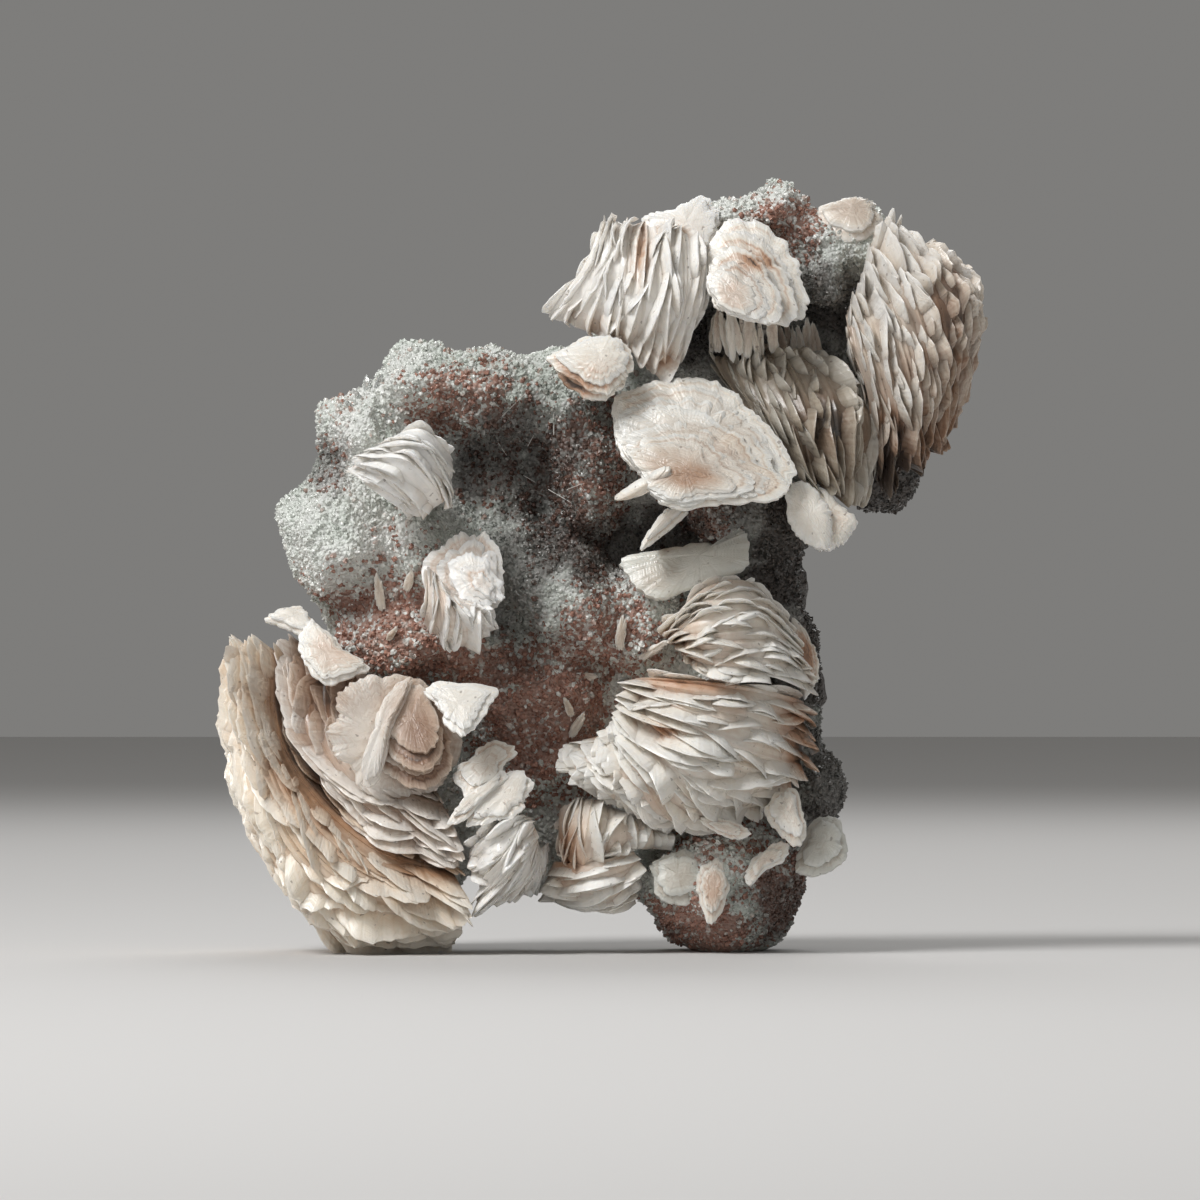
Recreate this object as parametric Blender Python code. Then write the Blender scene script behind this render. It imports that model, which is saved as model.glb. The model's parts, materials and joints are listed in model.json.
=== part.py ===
"""Baryte with quartz: a hand-sized mineral specimen that stands on two feet.

A knobbly body of drusy quartz carries crests of baryte. Each crest is a bundle of thin tabular
crystals that grew outwards from a common root, so it is one solid. The layout is in millimetres
and the scene in metres. X runs to the right, Y away from the viewer and Z up. The origin is on
the ground, under the middle of the specimen's bounding box.
"""

import bmesh
import bpy
import numpy as np
from mathutils import Vector, noise

MM = 0.001
SEED = 7

# From the layout's zero to the middle of the bounding box, along x and y
LAYOUT_MIDDLE = (0.39, 1.355)

# Free space between the baryte and the quartz that it sits in
SEAT_GAP = 0.6

# Crystals of a fan: points along each edge, how far out the grooves between them lie, and the
# unevenness of the edges, all as shares of the way from the root to the edge line
EDGE_POINTS = 6
GROOVE_REACH = 0.9
EDGE_STAGGER = (-0.06, 0.03)
EDGE_WAVE = 0.03
EDGE_ROUNDING = 0.07
# Share of a crystal's room across the fan: where its edge starts at most, its width and its lean
EDGE_START = (0.2, 0.5)
EDGE_WIDTH = 0.3
EDGE_LEAN = 0.35
# Plates: share of the radius where the rim starts to thin, how much of the bulge is left there,
# share of the thickness left at the rim, and where a rooted plate starts to narrow to its root
PLATE_RING = 0.72
RING_BULGE = 0.55
PLATE_RIM = 0.45
PLATE_FOOT = 0.75

# Skin of the quartz body: fineness of the lumps, grid, rounds of smoothing, height, size and
# roughness of its knobs, and triangles that are left
LUMP_DIVISIONS = 4
SKIN_GRID = 1.2
SKIN_SMOOTHING = 9
KNOB_HEIGHT = 1.9
KNOB_SIZE = 7.0
KNOB_ROUGHNESS = 0.8
KNOB_FINENESS = 2.0
KNOB_LAYERS = 3
QUARTZ_TRIANGLES = 1540
GROUND_CUT = (240.0, 160.0, 40.0)

# Lumps of the quartz body: middle x, y, z and half of the size along x, y, z
QUARTZ_LUMPS = (
    # the left lobe and the ledge above it
    (-35.6, 4, 58.2, 8.5, 14, 10.5),
    (-33, 4, 72.2, 7.4, 12, 5.9),
    # the rim of the bowl, its right side and its floor
    (-24.6, 4, 79.2, 5.9, 10, 5.9),
    (-16.2, 5, 77.7, 9.8, 11, 6.9),
    (-5.5, 5, 77.1, 7, 11, 7.3),
    (-1.3, 6, 67.3, 5.9, 12, 9.8),
    (-12, 14, 65.9, 10.9, 10, 10.1),
    # the ridge below the bowl and the slopes beside it
    (-5, 4, 49.1, 8.7, 14, 7.8),
    (-13.4, 6, 54.7, 8.4, 12, 7),
    (-25.3, 4, 54.7, 8.7, 12, 9.8),
    (-27.4, 4, 43.5, 10.5, 13, 5.9),
    (-18.3, 4, 42.1, 7, 12, 6.3),
    (5.5, 4, 46.3, 7, 11, 8.4),
    # the dark recess between the lower crests
    (-9.9, 4, 35.1, 10.5, 11, 7.7),
    (-7.8, 5, 26, 6.3, 9, 6.7),
    # the two feet
    (16.9, 2, 8.8, 11.2, 17, 10.1),
    (-29.3, 6, 8.8, 7.3, 15, 10.1),
    # the dark wall on the right
    (23.7, 12, 51.9, 4.9, 10, 9.1),
    (23, 5, 61, 6.7, 11, 7),
    (25.8, 10, 36.5, 4.5, 10, 12.6),
    (30, 4, 22.5, 4.2, 10, 5.3),
    (39.8, 8, 68, 5.3, 9, 6.4),
    # the tufts along the top and the knobs between the upper crests
    (24.8, 0, 104.4, 3.2, 6, 3.1),
    (30.4, 2, 100.7, 4.2, 8, 3.4),
    (31.5, -2, 93.2, 3.6, 7, 4.2),
    (18.8, 3, 102.1, 5.3, 7, 3.1),
    (27.9, 6, 98.1, 5.6, 7, 5.3),
    (37, 3, 98.4, 4.5, 8, 4.8),
    (19.5, -1, 86.9, 5.9, 6, 2.8),
    (15.3, -4, 60.1, 3.1, 8, 3.4),
    # the body behind, which ties everything together
    (-22.5, 15, 54.7, 18.2, 9, 21),
    (2.7, 14, 36.5, 21, 10, 23.8),
    (2.7, 15, 65.9, 15.4, 9, 14),
    (23.7, 14, 79.9, 22.4, 10, 16.8),
    (-30.2, 11, 21.1, 15.4, 12, 16.8),
    (16.7, 10, 16.9, 12.6, 12, 14),
    (-5.7, 11, 18.3, 15.4, 9, 9.8),
    (13.9, 8, 96.5, 9.8, 7, 6.3),
    (18.8, 5, 35.1, 10.5, 10, 12.6),
    (5.5, 8, 91.1, 7.7, 8, 9.1),
)

# The baryte. A fan has edge lines, over which its crystals spread, and the two ends of the root
# that they grow from. A plate has the outline of its rim.
CRESTS = {
    "baryte_crest_top_left": (
        dict(
            lines=(
                ((-0.1, -5, 104), (-2.9, -8, 96), (-9.4, -5, 88.1)),
                ((1.5, -9, 104), (0.7, -12, 94.6), (-2.7, -8, 85.5)),
                ((4.6, -10, 103.5), (4.6, -15, 91.1), (2.8, -10, 82.7)),
                ((8.5, -11, 102.9), (9.4, -16, 91.1), (6.9, -10, 79.7)),
                ((12.5, -11, 102.3), (12.7, -14, 91.8), (9.8, -9, 80.2)),
                ((15, -9, 99.5), (14.4, -11, 91.1), (11.5, -9, 83.9)),
            ),
            roots=((2.9, 5, 91.1), (11.1, 5, 91.1)),
            crystals=9,
        ),
        dict(
            outline=(
                (5.6, -3.9, 102.5), (9.4, -3.4, 103.3), (13.9, -2, 105.6),
                (16.1, -3.3, 103.5), (16.1, -5.8, 99.5), (13.9, -8, 96), (8.3, -7.7, 96.5),
            ),
            bulge=0.6,
            thickness=1.7,
            root=(12.5, 8, 99.5),
        ),
    ),
    "baryte_disc_top": (
        dict(
            outline=(
                (14.8, -9.1, 96.5), (16.1, -7.6, 100.7), (18.8, -7, 102.3),
                (22.3, -7.2, 101.8), (25.1, -8, 99.5), (27, -9.1, 96.5),
                (28.4, -10.3, 92.8), (28.6, -11.4, 89.7), (27.2, -12, 88.1),
                (25.1, -11.7, 89), (20.2, -11.5, 89.5), (16, -11.1, 90.6),
            ),
            bulge=1.2,
            thickness=1.6,
            root=(20.9, 6, 94.6),
        ),
        dict(
            outline=(
                (14.7, -12.2, 94.6), (15.3, -10.7, 98.1), (17.8, -10, 100),
                (21.1, -10.2, 99.5), (24.1, -11.2, 97), (26.2, -12.7, 93.2),
                (27, -14.1, 89.7), (25.8, -15, 87.6), (22.3, -14.9, 87.8),
                (18.5, -14.4, 89.2), (15.5, -13.8, 90.6),
            ),
            bulge=1.2,
            thickness=1.6,
        ),
        dict(
            outline=(
                (14.8, -15.3, 93.2), (15.4, -13.8, 96.5), (17.8, -13, 98.1),
                (20.6, -13.3, 97.4), (23, -14.5, 95.1), (24.8, -16.1, 91.7),
                (25.2, -17.4, 88.9), (23.4, -18, 87.6), (20.2, -17.7, 88.2),
                (16.9, -16.9, 90),
            ),
            bulge=1.2,
            thickness=1.5,
        ),
    ),
    "baryte_fan_right": (
        dict(
            lines=(
                ((33.7, -8, 90.4), (34.9, -11, 84.1), (37.4, -9, 77.1), (39.1, -4, 70.1)),
                ((35.6, -10, 94.6), (38.5, -15, 85.5), (41.6, -14, 76.4), (41.9, -6, 67.3)),
                ((37.1, -9, 99.5), (42.6, -15, 88.6), (44.9, -14, 78.5), (44.9, -6, 68.5)),
                ((39.3, -6, 103.2), (47, -12, 93.2), (49, -11, 82), (47.9, -4, 70.4)),
                ((42.3, -1, 101.2), (51, -5, 95.3), (52.2, -5, 86.2), (50.1, 0, 74.1)),
                ((46.1, 6, 99.8), (52.9, 4, 93.5), (53.2, 4, 85.5), (50, 7, 75.5)),
                ((45.4, 13, 98.1), (51.4, 13, 91.1), (51, 13, 84.1), (47.5, 13, 74.3)),
            ),
            roots=((36, 9, 81.3), (39.1, 12, 84.1)),
            crystals=12,
        ),
        dict(
            outline=(
                (30, -1.5, 103.2), (32.1, -0.4, 104.7), (34.9, 0, 105.3),
                (37.7, -0.1, 105.1), (38.6, -0.9, 104), (39.1, -2.5, 101.6),
                (36.3, -4, 99.5), (31.4, -3.5, 100.2),
            ),
            bulge=0.6,
            thickness=1.8,
            root=(34.9, 10, 100.2),
        ),
    ),
    "baryte_fan_middle": (
        dict(
            lines=(
                ((15, -4, 85), (15.8, -5.5, 81.9), (19.2, -7.5, 76.9), (23.7, -9, 69.9)),
                ((18.8, -4, 85.7), (20.6, -8, 80.6), (23.7, -12, 74.1), (27.9, -11, 65.4)),
                ((23.4, -4, 85.8), (26.2, -10, 80.2), (29, -14, 73.2), (30.7, -11, 64)),
                ((28.1, -4, 85.8), (32.3, -9, 80.6), (34.3, -13, 73.6), (33.7, -9, 62)),
                ((29.5, 1, 84.8), (36, -5, 79.1), (38.5, -8, 72.7), (36.3, -4, 61.2)),
            ),
            roots=((23.4, 6, 72.9), (27.9, 8, 72.9)),
            crystals=9,
        ),
    ),
    "baryte_shell_middle": (
        dict(
            outline=(
                (1.5, -12.5, 76.9), (5.5, -11.5, 79.1), (11.1, -11, 80.2),
                (16.7, -11.4, 79.4), (20.6, -12.7, 76.4), (23.9, -14.2, 72.9),
                (26.7, -16.2, 68.5), (25.9, -17.8, 65.1), (20.2, -18, 64.5),
                (12.5, -17.9, 64.8), (6.2, -17.1, 66.5), (2.9, -15.5, 70.1),
            ),
            bulge=2.0,
            thickness=1.7,
            root=(13.9, 4, 71.5),
        ),
        dict(
            outline=(
                (2, -14.5, 73.6), (6.9, -12.4, 76.9), (12.5, -12, 77.6), (17.4, -13, 76),
                (21.1, -15.3, 72.4), (23.7, -17.9, 68.5), (24.2, -20.4, 64.5),
                (16.7, -21, 63.6), (9, -20.4, 64.5), (4.8, -18.4, 67.6),
            ),
            bulge=2.0,
            thickness=1.6,
        ),
        dict(
            outline=(
                (2.9, -17.3, 71.3), (7.6, -15.3, 74.3), (13.9, -15, 74.8),
                (18.8, -16.5, 72.4), (22, -19.1, 68.5), (25.6, -20.5, 66.2),
                (23.9, -22.2, 63.7), (17.4, -22.6, 63), (11.3, -23, 62.4), (7.1, -22, 64),
                (5.2, -19.5, 67.9),
            ),
            bulge=1.8,
            thickness=1.6,
        ),
        dict(
            outline=(
                (9.1, -22, 67.3), (9.5, -21, 65.9), (6.9, -20, 64.4), (2.9, -19, 63),
                (2.2, -19.3, 63.4), (5.5, -20.8, 65.7),
            ),
            bulge=0.3,
            thickness=1.4,
        ),
    ),
    "baryte_plate_right": (
        dict(
            outline=(
                (25.8, -12.4, 64.5), (27.9, -12, 65.7), (30, -12.4, 64.4),
                (31.6, -13.3, 61.7), (32.2, -14.1, 58.9), (31.4, -15, 56.3),
                (29.3, -14.9, 56.6), (27.3, -14.5, 57.8), (26, -13.6, 60.6),
            ),
            bulge=0.8,
            thickness=1.5,
            root=(26.5, 8, 62.4),
        ),
        dict(
            outline=(
                (27.3, -9.5, 65.1), (30.4, -9.7, 64.7), (33.7, -10.7, 62),
                (35.4, -11.4, 60.3), (34.3, -12.4, 57.8), (32.3, -13, 56.3),
                (30.1, -13, 56.3), (28.3, -11.9, 58.9),
            ),
            bulge=0.8,
            thickness=1.5,
            root=(26.5, 8, 62.4),
        ),
    ),
    "baryte_plate_junction": (
        dict(
            outline=(
                (-7.4, -15.6, 82.5), (-4.3, -14.5, 84.7), (-0.8, -14, 85.7),
                (2.2, -14.1, 85.5), (3.9, -14.8, 84.1), (4.3, -16.2, 81.3),
                (2.9, -17.1, 79.5), (0.6, -18, 77.8), (-2.9, -17.3, 79.2),
            ),
            bulge=1.2,
            thickness=1.7,
            root=(-1.5, 2, 79.2),
        ),
        dict(
            outline=(
                (-6.3, -13.8, 81.1), (-3.9, -13.2, 82.2), (-0.1, -13, 82.5),
                (2.9, -13.3, 81.9), (3.5, -14.7, 79.4), (0.7, -16, 77.1),
                (-2.9, -15.7, 77.7),
            ),
            bulge=0.6,
            thickness=1.5,
            root=(-1.5, 2, 78.5),
        ),
    ),
    "baryte_blade_small": (
        dict(
            outline=(
                (5.5, -13, 56.3), (6.4, -11.4, 58.8), (8.8, -9.7, 61.3), (11.3, -9, 62.4),
                (12.2, -9.4, 61.9), (10.2, -10.8, 59.6), (7.7, -12.1, 57.7),
            ),
            bulge=0.5,
            thickness=1.4,
            root=(9, 6, 58.9),
        ),
    ),
    "baryte_plate_eared": (
        dict(
            outline=(
                (2.7, -6.4, 54.3), (6.2, -5.7, 55.7), (12.5, -5.2, 56.7),
                (16.4, -5.2, 56.6), (18.1, -4.6, 57.8), (19.2, -4, 58.9),
                (20.4, -4.4, 58.2), (20.7, -5.9, 55.3), (19.7, -6.9, 53.3),
                (13.9, -8, 51.4), (8.8, -9, 49.4), (5.2, -8.3, 50.8),
            ),
            bulge=0.8,
            thickness=1.8,
            root=(11.8, 6, 54.7),
        ),
    ),
    "baryte_fan_lower_right": (
        dict(
            lines=(
                ((6.6, -15, 44.7), (13.9, -14, 51.4), (20.6, -10, 52.5), (25.9, -5, 48.3)),
                ((7.4, -17, 44.2), (14.1, -19, 48.3), (21.6, -15, 49.1), (27.9, -7, 44.7)),
                ((8.4, -18, 43.5), (15.5, -22, 43.5), (23.4, -17, 43.8), (29, -8, 41.3)),
                ((9.9, -18, 41.9), (16, -22, 39.6), (23.9, -18, 39.6), (30.2, -8, 37.7)),
            ),
            roots=((18.8, 3, 43.5), (19.5, 3, 40.7)),
            crystals=6,
        ),
        dict(
            outline=(
                (26.5, -1, 46.1), (28.7, -1.3, 44.7), (30.1, -1.9, 41.4),
                (30.2, -2.7, 37.7), (27.9, -3, 36),
            ),
            bulge=0.5,
            thickness=1.6,
            root=(25.1, 6, 40.7),
        ),
    ),
    "baryte_crest_lower_right": (
        dict(
            lines=(
                ((2.2, -16, 39.1), (11.1, -22, 38.5), (21.6, -18, 37.2), (30.4, -7, 35.1)),
                ((1.7, -17.5, 37.4), (12.5, -24, 33.7), (22.5, -19, 31.2), (30.7, -7, 28.4)),
                ((1.5, -18, 36), (12.5, -25, 28.4), (21.6, -20, 24.6), (28.7, -9, 22.5)),
                ((1.1, -17.5, 34.6), (9, -24, 25.6), (15.5, -19, 19.5), (23, -9, 18.1)),
                ((0.4, -16, 32.9), (4.6, -21, 25.1), (8.3, -18, 18.6), (12.5, -11, 16.2)),
                ((-1, -13.5, 31.1), (0.3, -18, 25.1), (2.1, -16, 20.9), (5.5, -10, 18.6)),
                ((-3.6, -11, 29.8), (-4.6, -14, 26), (-2.9, -14, 23.2), (-0.1, -10, 21.6)),
            ),
            roots=((18.1, 2, 34), (7.6, 2, 28.8)),
            crystals=12,
        ),
        dict(
            outline=(
                (13.6, -17, 18.6), (16.7, -17, 19), (20.3, -17, 17.4), (19.7, -17, 16),
                (16.9, -17, 16.4),
            ),
            bulge=0.4,
            thickness=1.3,
            root=(16.9, -4, 19),
        ),
    ),
    "baryte_crest_lower_left": (
        dict(
            lines=(
                (
                    (-46.9, -10, 42.8), (-45.2, -13, 32.1), (-39.3, -17, 22.3),
                    (-29.5, -19, 14.1), (-17.2, -18, 9.2),
                ),
                (
                    (-48.9, -11, 43.8), (-47.5, -17, 30.7), (-41, -22, 17.5),
                    (-30.9, -23, 9), (-17.2, -19, 6.3),
                ),
                (
                    (-50.4, -11, 44.7), (-49.8, -16, 30.1), (-43.5, -21, 13.9),
                    (-32.9, -22, 4.9), (-17.6, -16, 3.5),
                ),
                (
                    (-51.5, -6, 45.1), (-52.1, -10, 30.1), (-46.3, -15, 12.5),
                    (-35.4, -17, 1.8), (-19.2, -11, 1.1),
                ),
                (
                    (-51.4, 1, 44.7), (-53.1, -1, 30.1), (-48, -4, 14.7),
                    (-36.3, -5, 0.1), (-22.3, -4, -0.8),
                ),
                (
                    (-49.6, 9, 43.3), (-51.7, 9, 30.2), (-46.6, 8, 14.8),
                    (-36.5, 7, 1.5), (-23.7, 6, 0.1),
                ),
            ),
            roots=((-37.7, 2, 26.5), (-33.7, 10, 22.5)),
            crystals=10,
        ),
    ),
    "baryte_rosette": (
        dict(
            lines=(
                ((-37.2, -9, 37.9), (-35.8, -14, 28.8), (-29.5, -18, 22.5), (-20.9, -17, 19.7)),
                ((-41.4, -9, 39.6), (-39.1, -15, 28.4), (-30.1, -20, 19.5), (-18.9, -19, 15.5)),
                ((-44.9, -8, 40.7), (-41.9, -14, 28.4), (-31.2, -19, 17.2), (-18.6, -19, 12.2)),
            ),
            roots=((-27.4, 3, 26.7), (-28.8, 3, 24.6)),
            crystals=5,
        ),
        dict(
            outline=(
                (-24.6, -14.8, 37.9), (-30.2, -17.1, 38.4), (-33.7, -18.5, 37.5),
                (-36, -19.4, 35.6), (-36.4, -19.6, 33), (-37.5, -20, 30.2),
                (-36.3, -19.5, 27.4), (-34.3, -18.7, 26), (-33, -18.2, 23.1),
                (-29.3, -16.7, 21.7), (-24.6, -14.8, 22.3), (-20.9, -13.3, 25.3),
                (-20, -13, 30.9),
            ),
            bulge=0.5,
            thickness=1.5,
            root=(-25.3, 0, 29.5),
        ),
        dict(
            outline=(
                (-24.8, -13, 37.5), (-28.7, -13.2, 37.1), (-31.2, -14.7, 34.4),
                (-32.1, -16.8, 30.7), (-31.2, -18.8, 27.2), (-28.1, -20.2, 24.6),
                (-24.6, -21, 23.2), (-21.7, -20.1, 24.9), (-20.6, -18.4, 27.9),
                (-21.7, -16.3, 31.6),
            ),
            bulge=0.6,
            thickness=1.5,
        ),
        dict(
            outline=(
                (-25.1, -15, 37.4), (-28.1, -15.5, 36.5), (-30.4, -17, 34),
                (-31.2, -18.8, 31.2), (-29.3, -20.8, 27.9), (-26.5, -22, 25.9),
                (-23.4, -21.8, 26.2), (-21.7, -20.1, 29), (-22.8, -17.4, 33.5),
            ),
            bulge=0.6,
            thickness=1.4,
        ),
    ),
    "baryte_plate_triangular": (
        dict(
            outline=(
                (-24.4, -19, 36.5), (-21.8, -18, 37.9), (-14.8, -18.6, 37.1),
                (-15.3, -20.5, 34.6), (-17.4, -23, 31.2), (-19.5, -23.5, 30.5),
                (-21.6, -21.9, 32.6), (-23, -20.2, 35),
            ),
            bulge=0.7,
            thickness=1.5,
            root=(-17.8, 0, 36.3),
        ),
    ),
    "baryte_plates_lower": (
        dict(
            outline=(
                (-20.3, -17.5, 25.1), (-18.3, -16.3, 27.3), (-15.5, -15, 29.5),
                (-13.4, -15.3, 29), (-11.8, -15.9, 27.9), (-13.7, -16.7, 26.5),
                (-14.3, -17.8, 24.5), (-16.7, -18.8, 22.8), (-19, -19, 22.4),
            ),
            bulge=0.5,
            thickness=1.4,
            root=(-15.5, 0, 23.9),
        ),
        dict(
            outline=(
                (-18.6, -21, 18.3), (-16.2, -18.6, 22.5), (-13, -17, 25.3),
                (-9.5, -17.3, 24.8), (-9.9, -19.1, 21.7), (-12, -20.4, 19.5),
                (-15.3, -20.9, 18.5),
            ),
            bulge=0.6,
            thickness=1.5,
            root=(-12, 0, 19.7),
        ),
        dict(
            outline=(
                (-21.3, -22, 18.2), (-19.7, -20.6, 20.9), (-16.7, -19.2, 23.4),
                (-13.6, -18, 25.6), (-13, -18.6, 24.5), (-16.1, -20.1, 21.7),
                (-18.6, -21.5, 19.2),
            ),
            bulge=0.4,
            thickness=1.3,
        ),
    ),
    "baryte_spray_lower": (
        dict(
            lines=(
                ((-11.1, -18, 20.3), (-15.5, -21, 17.5), (-20, -18, 13.7)),
                ((-9.8, -19, 19.5), (-14.1, -23, 13.9), (-18.3, -19, 9.7)),
                ((-9, -18, 17.6), (-12.6, -22, 11.1), (-18.6, -17, 5.2)),
                ((-8.5, -13, 14.8), (-9.9, -16, 10.5), (-13.7, -13, 6.3)),
                ((-7.4, -8, 15.5), (-7.8, -10, 11.3), (-9.9, -8, 7.1)),
            ),
            roots=((-9.7, 0, 14.8), (-8.5, 2, 14.1)),
            crystals=5,
        ),
    ),
    "baryte_crest_bottom": (
        dict(
            lines=(
                ((-6.3, -6, 21.1), (-6.3, -9, 16.9), (-6.3, -9, 12.5)),
                ((-2.2, -12, 22.5), (-3.2, -16, 16.9), (-3.6, -14, 11.1)),
                ((0.4, -13, 21.6), (0.3, -17, 17.2), (-0.4, -15, 11.9)),
                ((3.8, -13, 20.3), (4.3, -16, 16.9), (4.6, -14, 13.9)),
                ((7.1, -12, 18.6), (7.7, -14, 16.7), (8, -12, 14.1)),
            ),
            roots=((-1.5, 3, 16.2), (2, 3, 16.2)),
            crystals=5,
        ),
        dict(
            lines=(
                ((-7.8, -9, 12.5), (-1.3, -15, 12.7), (5.7, -15, 14.4)),
                ((-8.8, -8, 9.9), (-1.3, -16, 9.7), (6.6, -14, 12.2)),
                ((-9.2, -5, 8), (-0.1, -13, 6), (6.2, -10, 8.8)),
            ),
            roots=((-0.8, 4, 13.4), (-0.6, 5, 11.1)),
            crystals=4,
        ),
    ),
    "baryte_wedge_left": (
        dict(
            outline=(
                (-41.9, -13.6, 43.5), (-40.6, -12, 46.5), (-38.5, -12.7, 45.2),
                (-35.7, -14.1, 42.7), (-32.2, -15.6, 40), (-33.5, -16.2, 38.9),
                (-37.5, -17, 37.5), (-39.8, -16.5, 38.5), (-41.3, -15.2, 40.7),
            ),
            bulge=0.6,
            thickness=1.6,
            root=(-35.1, 2, 42.1),
        ),
        dict(
            outline=(
                (-46.8, -10.3, 46.5), (-44.9, -9.1, 48), (-42.1, -9, 48.2),
                (-40.3, -9.9, 47), (-39.1, -11.8, 44.7), (-41.9, -12, 44.4),
                (-44.2, -11, 45.6),
            ),
            bulge=0.4,
            thickness=1.4,
            root=(-37.9, 2, 44.2),
        ),
    ),
    "baryte_leaf_on_quartz": (
        dict(
            lines=(
                ((-29.8, -17, 72), (-24.6, -20, 73.1), (-19.5, -16, 68.7)),
                ((-32.1, -19, 70.8), (-25.6, -23, 70.1), (-19.7, -18, 63.7)),
                ((-33.7, -19, 69.9), (-27.4, -23, 67.3), (-21.7, -18, 61.3)),
                ((-34.9, -17, 68.7), (-30.2, -20, 65.1), (-24.8, -15, 60.1)),
            ),
            roots=((-26, -4, 67.6), (-28.1, -4, 65.7)),
            crystals=5,
        ),
    ),
    "baryte_flower_on_quartz": (
        dict(
            outline=(
                (-24.6, -14.2, 54.5), (-22.5, -13.5, 56.8), (-19.7, -13.1, 58.2),
                (-17.2, -13, 58.5), (-15.3, -13.3, 57.4), (-13.4, -14.3, 54),
                (-13.2, -15.1, 51.2), (-14.1, -15.8, 49), (-17.6, -16, 48.3),
                (-21.4, -15.8, 48.9), (-23.9, -15.4, 50.3),
            ),
            bulge=0.6,
            thickness=1.5,
            root=(-19, 0, 52.6),
        ),
        dict(
            outline=(
                (-21.1, -17.6, 54.3), (-18.6, -17, 55.7), (-15.8, -17.5, 54.5),
                (-13.7, -18.8, 51.4), (-14.1, -19.8, 49), (-17.2, -20, 48.6),
                (-20, -19.3, 50.3),
            ),
            bulge=0.6,
            thickness=1.4,
        ),
        dict(
            lines=(
                ((-24.5, -17, 54.5), (-24.2, -20, 49.1), (-25.2, -15, 45.2)),
                ((-23.2, -20, 53.3), (-21.7, -24, 47.5), (-21.8, -17, 41.9)),
                ((-21.1, -20, 50.5), (-19, -24, 46.9), (-17.8, -17, 41.3)),
                ((-18.3, -19, 49.6), (-16.2, -22, 47.5), (-14.6, -16, 44)),
            ),
            roots=((-20.9, -6, 49.1), (-19, -6, 49.1)),
            crystals=4,
        ),
    ),
    "baryte_plate_edge": (
        dict(
            outline=(
                (22.7, -14.5, 20), (24.1, -13.5, 22.1), (25.8, -13, 23.1),
                (27.4, -13.4, 22.3), (28.1, -14.7, 19.7), (28.4, -16.2, 16.7),
                (27.6, -17, 15), (25.6, -16.6, 15.8), (23.7, -15.6, 17.8),
            ),
            bulge=0.8,
            thickness=1.5,
            root=(24.4, 0, 16.9),
        ),
    ),
    "baryte_plate_slope": (
        dict(
            outline=(
                (20.6, -14.1, 12.5), (22.3, -13.3, 14.4), (24.4, -13, 15.4),
                (26.2, -13.2, 14.8), (25.1, -13.9, 12.9), (22.5, -14.4, 11.5),
                (20.9, -15, 9.8), (20, -14.6, 11.1),
            ),
            bulge=0.4,
            thickness=1.3,
            root=(23, 0, 13.4),
        ),
    ),
    "baryte_plate_corner": (
        dict(
            outline=(
                (34.3, -7.2, 14.8), (33.6, -8.1, 13), (31.4, -8.9, 11.3), (27.9, -9, 11.2),
                (27, -8.2, 12.7), (28.1, -6.8, 15.5), (29.5, -5.6, 18.1), (31.8, -5, 19.2),
                (33.6, -5.6, 18.1),
            ),
            bulge=0.7,
            thickness=1.6,
            root=(27.9, 4, 15.5),
        ),
    ),
    "baryte_plate_foot": (
        dict(
            outline=(
                (13.6, -14.4, 11.6), (15.3, -14, 13.2), (16.9, -14.1, 12.6),
                (17.8, -14.7, 9.9), (17.1, -15.5, 6.4), (15.5, -16, 4.5),
                (14.3, -15.8, 5.5), (13.2, -15.1, 8.5),
            ),
            bulge=0.6,
            thickness=1.4,
            root=(14.6, 0, 9.2),
        ),
    ),
    "baryte_chunk_foot": (
        dict(
            outline=(
                (7.4, -12.3, 13), (10.4, -12, 14.3), (14, -12.3, 13.3), (14.3, -13, 10.6),
                (13.2, -13.7, 8.1), (10.4, -14, 7), (8, -13.6, 8.4), (7, -12.9, 11.1),
            ),
            bulge=0.8,
            thickness=1.6,
            root=(12.5, 0, 9.9),
        ),
    ),
    "baryte_crest_back": (
        dict(
            lines=(
                ((12.5, 23, 91.1), (10.5, 26, 84.1), (12.5, 23, 76.9)),
                ((18.1, 24, 93.2), (16.9, 28, 84.1), (18.3, 24, 75)),
                ((24.4, 24, 93.2), (24.4, 28, 84.1), (24.4, 24, 74.6)),
                ((30.7, 23, 91.8), (32.3, 26, 84.1), (30.4, 22, 75.5)),
            ),
            roots=((20.2, 10, 84.1), (23.7, 10, 84.1)),
            crystals=5,
        ),
    ),
}

BARYTE_COLOUR = (0.86, 0.76, 0.66, 1.0)
QUARTZ_COLOUR = (0.46, 0.47, 0.42, 1.0)


def clear_scene():
    for old in list(bpy.data.objects):
        bpy.data.objects.remove(old, do_unlink=True)


def material(name, colour, roughness):
    made = bpy.data.materials.new(name)
    made.use_nodes = True
    shader = made.node_tree.nodes["Principled BSDF"]
    shader.inputs["Base Color"].default_value = colour
    shader.inputs["Roughness"].default_value = roughness
    shader.inputs["Metallic"].default_value = 0.0
    return made


def scene_point(p):
    x, y, z = p
    return Vector((x - LAYOUT_MIDDLE[0], y - LAYOUT_MIDDLE[1], z)) * MM


def object_from(mesh, name):
    """A solid object from a bmesh, with its faces turned outwards."""
    bmesh.ops.recalc_face_normals(mesh, faces=mesh.faces[:])
    if mesh.calc_volume(signed=True) < 0:
        bmesh.ops.reverse_faces(mesh, faces=mesh.faces[:])
    data = bpy.data.meshes.new(name)
    mesh.to_mesh(data)
    mesh.free()
    made = bpy.data.objects.new(name, data)
    bpy.context.scene.collection.objects.link(made)
    return made


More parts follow.
